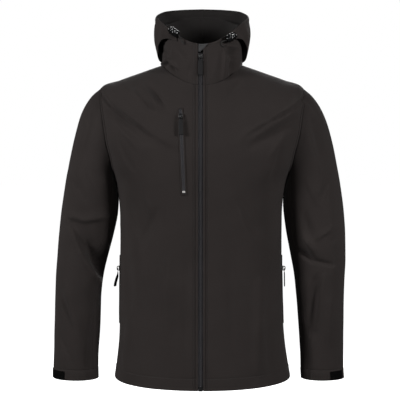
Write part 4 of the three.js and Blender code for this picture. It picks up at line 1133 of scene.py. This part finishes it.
def pocket_zip(name, place_at, span, reach, node):
    """The tape and coil in a pocket's slot and the turned edge round it."""
    rows = np.linspace(0, 1, 90)[:, None]
    shares = np.array([-1, -0.97, -0.9, -0.7, -0.45, -0.2, 0, 0.2, 0.45, 0.7, 0.9, 0.97, 1])[None]
    point, normal = place_at(span[0] + (span[1] - span[0]) * rows + 0 * shares, reach * shares + 0 * rows)
    tape, _ = shell(f"{name}_tape", point, normal, 0.9, 0.6)
    turned_outwards(tape.data)
    on_body(tape, "jacket", "zip_tape", [TAPE, TAPE], node)
    line, facing = moved(point, normal, 1.25)[:, 6], normal[:, 6]
    on_body(gathered(f"{name}_coil", coil(line, facing)), "jacket", "zip_coil", [COIL])
    loop = slot_loop(place_at, reach * 1.3, span[0] - 0.012, span[1] + 0.012, 0.16)
    edge = gathered(f"{name}_edge", edge_roll(*loop, 1.5, 1.1, 0.7))
    on_body(edge, "jacket", "shell_cloth", [SHELL])


pocket_zip("chest_pocket", chest_place, (0, 1), 3.9, "chest_zip")
slider_and_pull("chest", chest_place(np.array([0.09]), np.zeros(1))[1][0])
point, normal = chest_place(np.array([0.975]), np.zeros(1))
run = CHEST_TOP - CHEST_END
stop_axes = seat_axes(normal[0], np.array((run[0], 0, run[1])) / np.hypot(*run))
stop_seat = moved(point, normal, 1.9)[0]
PALE = moulded_rubber("pale_stop", (0.34, 0.33, 0.32, 1), (0.46, 0.45, 0.43, 1))
on_body(gathered("chest_stop_bar", seated(slab(6.4, -2.3, 2.3, 1.4, 1), stop_seat, stop_axes)),
        "jacket", "end_stop", [PALE], "chest_end_stop")

for side_name, side in SIDES:
    place_at = partial(hand_place, side)
    pocket_zip(f"hand_pocket_{side_name}", place_at, HAND_ROWS, 4, f"hand_zip_{side_name}")
    facing = place_at(np.array([HAND_SLIDER_ROW]), np.zeros(1))[1][0]
    twist, lean = (-34, 6) if side < 0 else (0, 0)
    slider_and_pull(f"hand_{side_name}", facing, twist, lean)

# Cuff tabs: a double strip of softshell, box-stitched, sewn into the sleeve's inner seam. It points to the
# outer side, and its hooks close on a patch of looped pile sewn to the cuff.
CUFF_TABS = {-1: (66, 144, -14), 1: (74, 126, 30)}
TAB_ROWS = (11.1, 11.944)


def cuff_place(side, from_turn, to_turn, rounded, rows=30, columns=64):
    """A band on the cuff between two turns (degrees), its first end rounded."""
    along = np.concatenate([[0, 0.003, 0.01, 0.03], np.linspace(0.06, 0.97, columns - 7), [0.99, 0.997, 1]])
    up = np.concatenate([[-1, -0.985, -0.95], np.linspace(-0.86, 0.86, rows - 6), [0.95, 0.985, 1]])
    narrowing = 1 - rounded * (1 - np.sqrt(1 - (1 - np.clip(along / 0.13, 0, 1)) ** 2))
    row = (TAB_ROWS[0] + TAB_ROWS[1]) / 2 + (TAB_ROWS[1] - TAB_ROWS[0]) / 2 * up[:, None] * narrowing
    turn = np.radians(from_turn + (to_turn - from_turn) * along)[None] + 0 * row
    return sleeve(side, turn, row)


def loop_pile(name, colour, lighter):
    """Looped pile: small crushed loops of dull nylon."""
    finish = Finish(name, Specular_IOR_Level=0.05)
    loops = finish.node("TexVoronoi", {}, {"Scale": 900.0})
    clumps = finish.noise(260, 3)
    tone = finish.blend(clumps, colour, lighter)
    return finish.paint(tone, 0.98 - loops * 0.05, loops + clumps, 0.0007)


PILE = loop_pile("loop_pile", (0.0012, 0.0012, 0.0012, 1), (0.004, 0.004, 0.0039, 1))
for side_name, side in SIDES:
    tab_end, tab_root, patch_start = CUFF_TABS[side]
    point, normal = cuff_place(side, tab_end, tab_root, 0.55)
    across, along = run_along(point, 1) * 1000, run_along(point, 0) * 1000
    edge = np.minimum(np.minimum(across, across[:, -1:] - across), np.minimum(along, along[-1:] - along))
    tab, outer = shell(f"tab_{side_name}", point, normal, 2.3 + dip(edge, 3.2, 0.3), 1.8, side > 0)
    on_body(tab, "jacket", "shell_cloth", [SHELL, SHELL], f"cuff_tab_{side_name}")
    declare_cloth(point, 0)
    box = [np.s_[k, 6:-5] for k in (5, -6)] + [np.s_[5:-5, k] for k in (6, 26, -6)]
    sew(f"stitches_tab_{side_name}", ((outer, normal), box))
    point, normal = cuff_place(side, patch_start, tab_end - 1, 0.0, 24, 40)
    patch, _ = shell(f"patch_{side_name}", point, normal, 1.5, 1.0, side > 0)
    on_body(patch, "jacket", "loop_patch", [PILE, PILE], f"cuff_patch_{side_name}")
    declare_cloth(point, 0)

# Floor and light: a plain pale floor well below the jacket, a white studio round it, and broad soft lamps at
# both sides, before and behind. The surround is dimmer as light than to the eye, so that folds still show.
world = bpy.data.worlds.new("studio")
bpy.context.scene.world = world
world.use_nodes = True
surround = world.node_tree
surround.nodes["Background"].inputs["Color"].default_value = (1, 1, 1, 1)
seen = surround.nodes.new("ShaderNodeLightPath")
strength = surround.nodes.new("ShaderNodeMapRange")
strength.inputs["To Min"].default_value, strength.inputs["To Max"].default_value = 0.06, 1.0
surround.links.new(seen.outputs["Is Camera Ray"], strength.inputs["Value"])
surround.links.new(strength.outputs["Result"], surround.nodes["Background"].inputs["Strength"])
floor = mesh_object("floor", np.array([(-20, -20, -1.4), (20, -20, -1.4), (20, 20, -1.4), (-20, 20, -1.4)]),
                    np.array([(0, 1, 2, 3)]))
pale = Finish("pale_floor", Roughness=0.9, Emission_Strength=0.95)
pale.feed(pale.shader.inputs["Emission Color"], (1, 1, 1, 1))
floor_tone = pale.blend(pale.noise(2), (0.93, 0.93, 0.93, 1), (0.96, 0.96, 0.96, 1))
floor.data.materials.append(pale.paint(floor_tone))
floor.visible_diffuse = floor.visible_glossy = False
for lamp_name, place, power, size in (
    ("left", (-2.6, -1.6, 0.6), 92, 0.7),
    ("right", (2.4, -1.9, 0.6), 78, 0.7),
    ("front", (-0.1, -3.3, 0.9), 16, 0.8),
    ("back", (0.5, 3.2, 0.9), 90, 2.0),
):
    lamp = bpy.data.lights.new(lamp_name, "AREA")
    lamp.energy, lamp.size = power, size
    lamp_object = bpy.data.objects.new(lamp_name, lamp)
    bpy.context.scene.collection.objects.link(lamp_object)
    lamp_object.location = place
    towards = np.array((0, 0, -0.25)) - np.array(place)
    flat = math.hypot(towards[0], towards[1])
    lamp_object.rotation_euler = (math.atan2(flat, -towards[2]), 0, math.atan2(-towards[0], towards[1]))
bpy.context.scene.view_settings.view_transform = "Standard"
